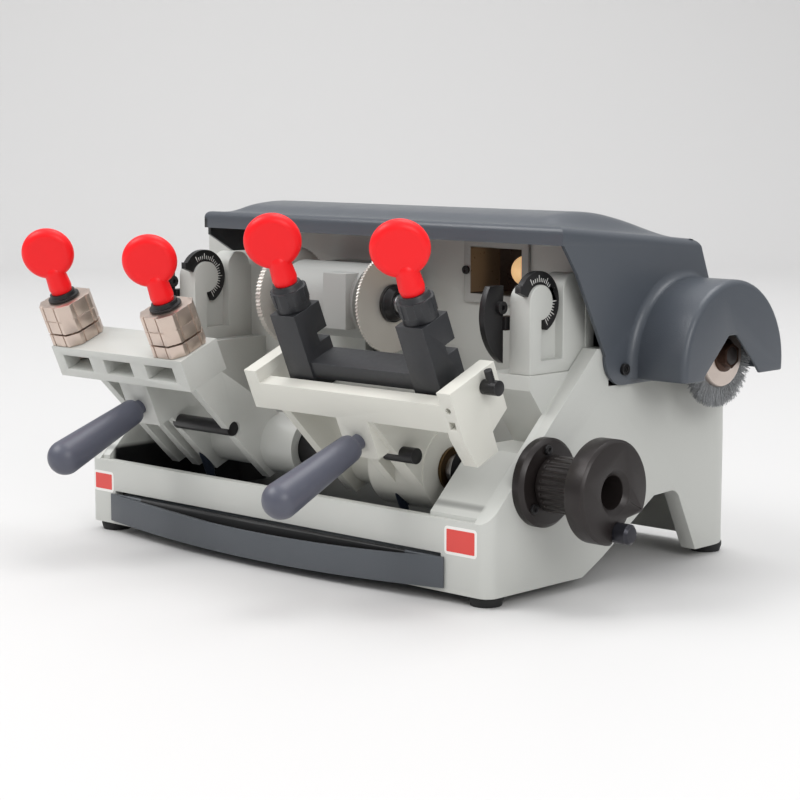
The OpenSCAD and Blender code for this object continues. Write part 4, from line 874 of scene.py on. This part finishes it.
def makeWireTree():  # crimped wires that stand out from a hub
    tree, given, out = newTree("brushWires", brush)
    index = step(tree, "GeometryNodeInputIndex").outputs[0]
    angle = times(tree, index, goldenAngle)
    angle = plus(tree, angle, chance(tree, -wild["place"], wild["place"], 3))
    up, side = calc(tree, "SINE", angle), calc(tree, "COSINE", angle)
    spreadX = chance(tree, -1.0, 1.0, 11)
    rootX = times(tree, spreadX, given["Half Width"])
    rootX = times(tree, rootX, wild["root"])
    inner = given["Inner Radius"]
    root = vector(tree, rootX, times(tree, side, inner),
                  times(tree, up, inner))
    points = step(tree, "GeometryNodePoints",
                  [("Count", given["Wires"]), ("Position", root)])
    reach = calc(tree, "SUBTRACT", given["Outer Radius"], inner)
    length = times(tree, reach, chance(tree, wild["shortest"], wild["longest"], 5))
    line = step(tree, "GeometryNodeCurvePrimitiveLine", [("End", (0, 0, 1))])
    bent = step(tree, "GeometryNodeResampleCurve", [("Curve", line.outputs[0]), ("Count", 9)])
    along = step(tree, "GeometryNodeSplineParameter").outputs["Factor"]
    wave = calc(tree, "SINE", times(tree, along, wild["waves"]))
    shift = vector(tree, times(tree, wave, given["Crimp"]))
    bent = step(tree, "GeometryNodeSetPosition", [("Geometry", bent.outputs[0]), ("Offset", shift)])
    ring = step(tree, "GeometryNodeCurvePrimitiveCircle",
                [("Resolution", 3), ("Radius", given["Wire Radius"])])
    tube = step(tree, "GeometryNodeCurveToMesh", [("Curve", bent.outputs[0]),
                ("Profile Curve", ring.outputs[0]), ("Fill Caps", True)])
    splay = times(tree, spreadX, wild["splay"])
    lean = chance(tree, -wild["lean"], wild["lean"], 17)
    towards = vector(tree, plus(tree, splay, chance(tree, -wild["stray"], wild["stray"], 29)),
                     calc(tree, "SUBTRACT", side, times(tree, up, lean)),
                     plus(tree, up, times(tree, side, lean)))
    aim = step(tree, "FunctionNodeAlignRotationToVector", [("Vector", towards)], axis="Z")
    spin = step(tree, "FunctionNodeAxisAngleToRotation",
                [("Axis", (0, 0, 1)), ("Angle", chance(tree, 0.0, fullTurn, 23))])
    turn = step(tree, "FunctionNodeRotateRotation", [("Rotation", aim.outputs[0]),
                ("Rotate By", spin.outputs[0])], rotation_space="LOCAL")
    planted = step(tree, "GeometryNodeInstanceOnPoints",
                   [("Points", points.outputs[0]), ("Instance", tube.outputs[0]),
                    ("Rotation", turn.outputs[0]), ("Scale", vector(tree, 1.0, 1.0, length))])
    finishTree(tree, given, out, planted.outputs[0])
    return tree


marks = {"Marks": 25, "First": -8, "Step": math.radians(7.5), "Inner Radius": 0.015,
         "Short": 0.003, "Long": 0.005, "Width": 0.0007, "Depth": 0.0003}


def makeMarkTree():  # short bars set round an arc, every fourth one longer
    tree, given, out = newTree("arcMarks", marks)
    index = step(tree, "GeometryNodeInputIndex").outputs[0]
    index = plus(tree, index, given["First"])
    angle = times(tree, index, given["Step"])
    inner = given["Inner Radius"]
    place = vector(tree, 0.0, times(tree, calc(tree, "COSINE", angle), inner),
                   times(tree, calc(tree, "SINE", angle), inner))
    points = step(tree, "GeometryNodePoints",
                  [("Count", given["Marks"]), ("Position", place)])
    fourth = calc(tree, "LESS_THAN", calc(tree, "FLOORED_MODULO", index, 4.0), 0.5)
    extra = calc(tree, "SUBTRACT", given["Long"], given["Short"])
    length = plus(tree, given["Short"], times(tree, fourth, extra))
    bar = step(tree, "GeometryNodeMeshCube", [("Size", (1, 1, 1))])
    bar = step(tree, "GeometryNodeTransform", [("Geometry", bar.outputs[0]),
                                               ("Translation", (0, 0.5, 0))])
    turn = step(tree, "FunctionNodeAxisAngleToRotation", [("Axis", (1, 0, 0)), ("Angle", angle)])
    size = vector(tree, given["Depth"], length, given["Width"])
    planted = step(tree, "GeometryNodeInstanceOnPoints",
                   [("Points", points.outputs[0]), ("Instance", bar.outputs[0]),
                    ("Rotation", turn.outputs[0]), ("Scale", size)])
    finishTree(tree, given, out, planted.outputs[0])
    return tree


capScrew = {"Head Radius": 0.0045, "Head Height": 0.003, "Socket Radius": 0.0024}


def makeScrewTree():  # cap screws on the points of a mesh, each facing its own way
    tree, given, out = newTree("capScrews", capScrew)
    tall = given["Head Height"]
    solids = []
    for corners, radius, lift in ((40, "Head Radius", 0.5), (6, "Socket Radius", 0.95)):
        solid = step(tree, "GeometryNodeMeshCylinder", [
            ("Vertices", corners), ("Radius", given[radius]), ("Depth", tall)])
        raised = vector(tree, z=times(tree, tall, lift))
        solids.append(step(tree, "GeometryNodeTransform", [
            ("Geometry", solid.outputs[0]), ("Translation", raised)]))
    cut = step(tree, "GeometryNodeMeshBoolean", operation="DIFFERENCE", solver="EXACT")
    wire(tree, solids[0].outputs[0], cut.inputs["Mesh 1"])
    wire(tree, solids[1].outputs[0], cut.inputs["Mesh 2"])
    facing, size = (step(tree, "GeometryNodeInputNamedAttribute", [("Name", label)],
                         data_type=kind).outputs["Attribute"]
                    for label, kind in (("facing", "FLOAT_VECTOR"), ("size", "FLOAT")))
    aim = step(tree, "FunctionNodeAlignRotationToVector", [("Vector", facing)], axis="Z")
    planted = step(tree, "GeometryNodeInstanceOnPoints",
                   [("Points", given["Geometry"]), ("Instance", cut.outputs["Mesh"]),
                    ("Rotation", aim.outputs[0]), ("Scale", vector(tree, size, size, size))])
    finishTree(tree, given, out, planted.outputs[0])
    return tree


sealLow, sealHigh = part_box("end_bellows")
bellows = {"Length": sealHigh.x - sealLow.x, "Folds": 7, "Valley Radius": 0.0136,
           "Ridge Radius": 0.0189}


def makeSealTree():  # a folded tube along X
    tree, given, out = newTree("foldedSeal", bellows)
    end = vector(tree, given["Length"])
    line = step(tree, "GeometryNodeCurvePrimitiveLine", [("End", end)])
    count = plus(tree, times(tree, given["Folds"], 12.0), 1.0)
    fine = step(tree, "GeometryNodeResampleCurve", [("Curve", line.outputs[0]), ("Count", count)])
    along = step(tree, "GeometryNodeSplineParameter").outputs["Factor"]
    turns = times(tree, along, given["Folds"])
    turns = times(tree, turns, fullTurn)
    wave = times(tree, calc(tree, "SUBTRACT", 1.0, calc(tree, "COSINE", turns)), 0.5)
    wave = calc(tree, "POWER", wave, 0.75)
    swing = calc(tree, "SUBTRACT", given["Ridge Radius"], given["Valley Radius"])
    radius = plus(tree, given["Valley Radius"], times(tree, wave, swing))
    ring = step(tree, "GeometryNodeCurvePrimitiveCircle", [("Resolution", 64), ("Radius", 1.0)])
    tube = step(tree, "GeometryNodeCurveToMesh", [("Curve", fine.outputs[0]),
                ("Profile Curve", ring.outputs[0]), ("Scale", radius), ("Fill Caps", True)])
    finishTree(tree, given, out, tube.outputs[0])
    return tree


trees = {"wires": makeWireTree(), "marks": makeMarkTree(), "screws": makeScrewTree(),
         "seal": makeSealTree()}
print("trees made:", len(trees))


def placed(mesh, origin):
    mesh.transform(Matrix.Translation(origin))
    return mesh


wires = placed(grown(trees["wires"], brush, "brushWire"), at(254, motor["y"], motor["z"]))
newPiece("brushWires", wires, "brushWire", bodyOf["brush_bristles"], ["brush_bristles"])

boss = {"y": 75.0, "z": 216.0, "left": -186.0, "right": 184.0, "face": 25.22}
for side in ("left", "right"):
    bars = grown(trees["marks"], marks, "scaleWhite")
    placed(bars, at(boss[side] + boss["face"], boss["y"], boss["z"]))
    newPiece(side + "DialMarks", bars, "scaleWhite", bodyOf[side + "_dial"])


def screwPoints(spots):  # spots are (place, facing, size)
    mesh = bpy.data.meshes.new("spots")
    mesh.from_pydata([place for place, facing, size in spots], [], [])
    mesh.attributes.new("facing", "FLOAT_VECTOR", "POINT")
    mesh.attributes.new("size", "FLOAT", "POINT")
    for i, (place, facing, size) in enumerate(spots):
        mesh.attributes["facing"].data[i].vector = facing
        mesh.attributes["size"].data[i].value = size
    return mesh


# in the cover's right side, its sloping back and the lamp frame, and round the right bushing
screwPlaces = {"side": (150, 162), "roof": (cover["left"] + 40, cover["right"] - 60), "up": 164,
               "lower": 14, "slope": math.atan(44.0 / 106.0), "lamp": (95.8, 122.9, 232),
               "bushing": 236, "ring": 25.5, "turns": (10, 130, 250)}


def screwSpots():
    spots = [(at(cover["right"], *screwPlaces["side"]), (1, 0, 0), 1.0)]
    slope, ring = screwPlaces["slope"], screwPlaces["ring"]
    back = cover["foot"] - screwPlaces["lower"] * math.tan(slope)
    for x in screwPlaces["roof"]:
        spots.append((at(x, back, screwPlaces["up"]), (0, math.cos(slope), math.sin(slope)), 1.0))
    spots.append((at(*screwPlaces["lamp"]), (0, -1, 0), 0.75))
    for turn in screwPlaces["turns"]:
        a = math.radians(turn)
        spots.append((at(screwPlaces["bushing"], shaft["y"] - ring * math.sin(a),
                         shaft["z"] + ring * math.cos(a)), (1, 0, 0), 0.8))
    return spots


screws = grown(trees["screws"], capScrew, "blackenedSteel", screwPoints(screwSpots()), 0.35)
newPiece("capScrews", screws, "blackenedSteel", bodyOf["fixing_screws"], ["fixing_screws"],
         smooth=40)

seal = grown(trees["seal"], bellows, "rubberBlack")
placed(seal, Vector((sealLow.x, shaftAxis[0], shaftAxis[1])))
newPiece("foldedSeal", seal, "rubberBlack", bodyOf["end_bellows"], ["end_bellows"], smooth=50)

# two blank decals at the front, where labels go
decal = {"thick": 0.12, "round": 3.0, "border": 2.2, "sharpest": 0.8, "steps": 8}


def roundedPlate(work, x0, x1, z0, z1, r, y0, y1):
    outline = []
    for cx, cz, start in ((x1 - r, z0 + r, -90), (x1 - r, z1 - r, 0), (x0 + r, z1 - r, 90),
                          (x0 + r, z0 + r, 180)):
        for k in range(decal["steps"] + 1):
            a = math.radians(start + 90 * k / decal["steps"])
            outline.append((cx + r * math.cos(a), cz + r * math.sin(a)))
    prism(work, [[at(x, y, z) for x, z in outline] for y in (y0, y1)])


def makeDecal(name, x0, x1, z0, z1):
    layers = (("Back", 0.0, decal["thick"], "decalWhite"),
              ("Field", decal["border"], 2 * decal["thick"], "decalRed"))
    for suffix, inset, front, material in layers:
        work = bmesh.new()
        corner = max(decal["sharpest"], decal["round"] - inset)
        roundedPlate(work, x0 + inset, x1 - inset, z0 + inset, z1 - inset, corner, -front,
                     -front + decal["thick"] * 0.9)
        newPiece(name + suffix, meshFrom(work, name + suffix), material, "base",
                 smooth=30)


makeDecal("leftDecal", -221.0, -195.0, 34.5, 52.0)
makeDecal("rightDecal", 184.5, 216.0, 36.5, 57.5)
print("repeated pieces ready")

# floor and wall behind, in one sweep
stage = {"front": -2.2, "back": 3.2, "half": 4.5, "rise": 2.6, "bend": 0.9, "steps": 14,
         "colour": tint(215, 214, 213), "rough": 0.55, "specular": 0.25}


def makeStage():
    profile = [(stage["front"], 0.0)]
    for i in range(stage["steps"] + 1):
        a = math.pi / 2 * i / stage["steps"]
        profile.append((stage["back"] + stage["bend"] * math.sin(a),
                        stage["bend"] * (1 - math.cos(a))))
    profile.append((stage["back"] + stage["bend"], stage["rise"]))
    work = bmesh.new()
    rows = [[work.verts.new((s * stage["half"], y, z)) for y, z in profile] for s in (-1, 1)]
    for i in range(len(profile) - 1):
        work.faces.new((rows[0][i], rows[1][i], rows[1][i + 1], rows[0][i + 1]))
    mesh = meshFrom(work, "paperSweep", turnOut=False)
    for polygon in mesh.polygons:
        polygon.use_smooth = True
    sweep = linked("paperSweep", mesh)
    sweep.rotation_euler = (0, 0, math.radians(view["turn"]))
    material = bpy.data.materials.new("palePaper")
    material.use_nodes = True
    shader = material.node_tree.nodes["Principled BSDF"]
    shader.inputs["Base Color"].default_value = stage["colour"]
    shader.inputs["Roughness"].default_value = stage["rough"]
    shader.inputs["Specular IOR Level"].default_value = stage["specular"]
    mesh.materials.append(material)


makeStage()

lamps = {
    "keyLight": dict(place=(-1.3, -1.7, 2.3), aim=(0, 0, 0.1), size=(2.0, 1.3), power=44),
    "sideLight": dict(place=(2.3, -1.0, 1.3), aim=(0, 0, 0.1), size=(1.4, 1.2), power=23),
    "topLight": dict(place=(0.1, 0.6, 2.4), aim=(0, 0, 0), size=(1.8, 1.4), power=26),
    "wallLight": dict(place=(-1.6, 1.2, 2.2), aim=(-2.8, 3.0, 0.9), size=(3.0, 1.0), power=20),
}
for name, lamp in lamps.items():
    data = bpy.data.lights.new(name, "AREA")
    data.shape = "RECTANGLE"
    data.size, data.size_y = lamp["size"]
    data.energy = lamp["power"]
    light = linked(name, data)
    light.location = lamp["place"]
    towards = Vector(lamp["aim"]) - Vector(lamp["place"])
    light.rotation_euler = towards.to_track_quat("-Z", "Y").to_euler()

# light from all round, stronger overhead, and paler where the camera looks past the paper
airLevel = {"low": 0.22, "high": 0.95, "seen": 0.62, "colour": (0.97, 0.98, 1.0, 1)}
world = bpy.data.worlds.new("studioAir")
scene.world = world
world.use_nodes = True
tree = world.node_tree
air = tree.nodes["Background"]
air.inputs["Color"].default_value = airLevel["colour"]
sky = tree.nodes.new("ShaderNodeSeparateXYZ")
wire(tree, tree.nodes.new("ShaderNodeTexCoord").outputs["Generated"], sky.inputs[0])
level = spread(tree, sky.outputs["Z"], -0.1, 1.0, airLevel["low"], airLevel["high"])
seen = tree.nodes.new("ShaderNodeLightPath").outputs["Is Camera Ray"]
shown = times(tree, seen, airLevel["seen"])
wire(tree, plus(tree, level, shown), air.inputs["Strength"])
print("stage and light ready")
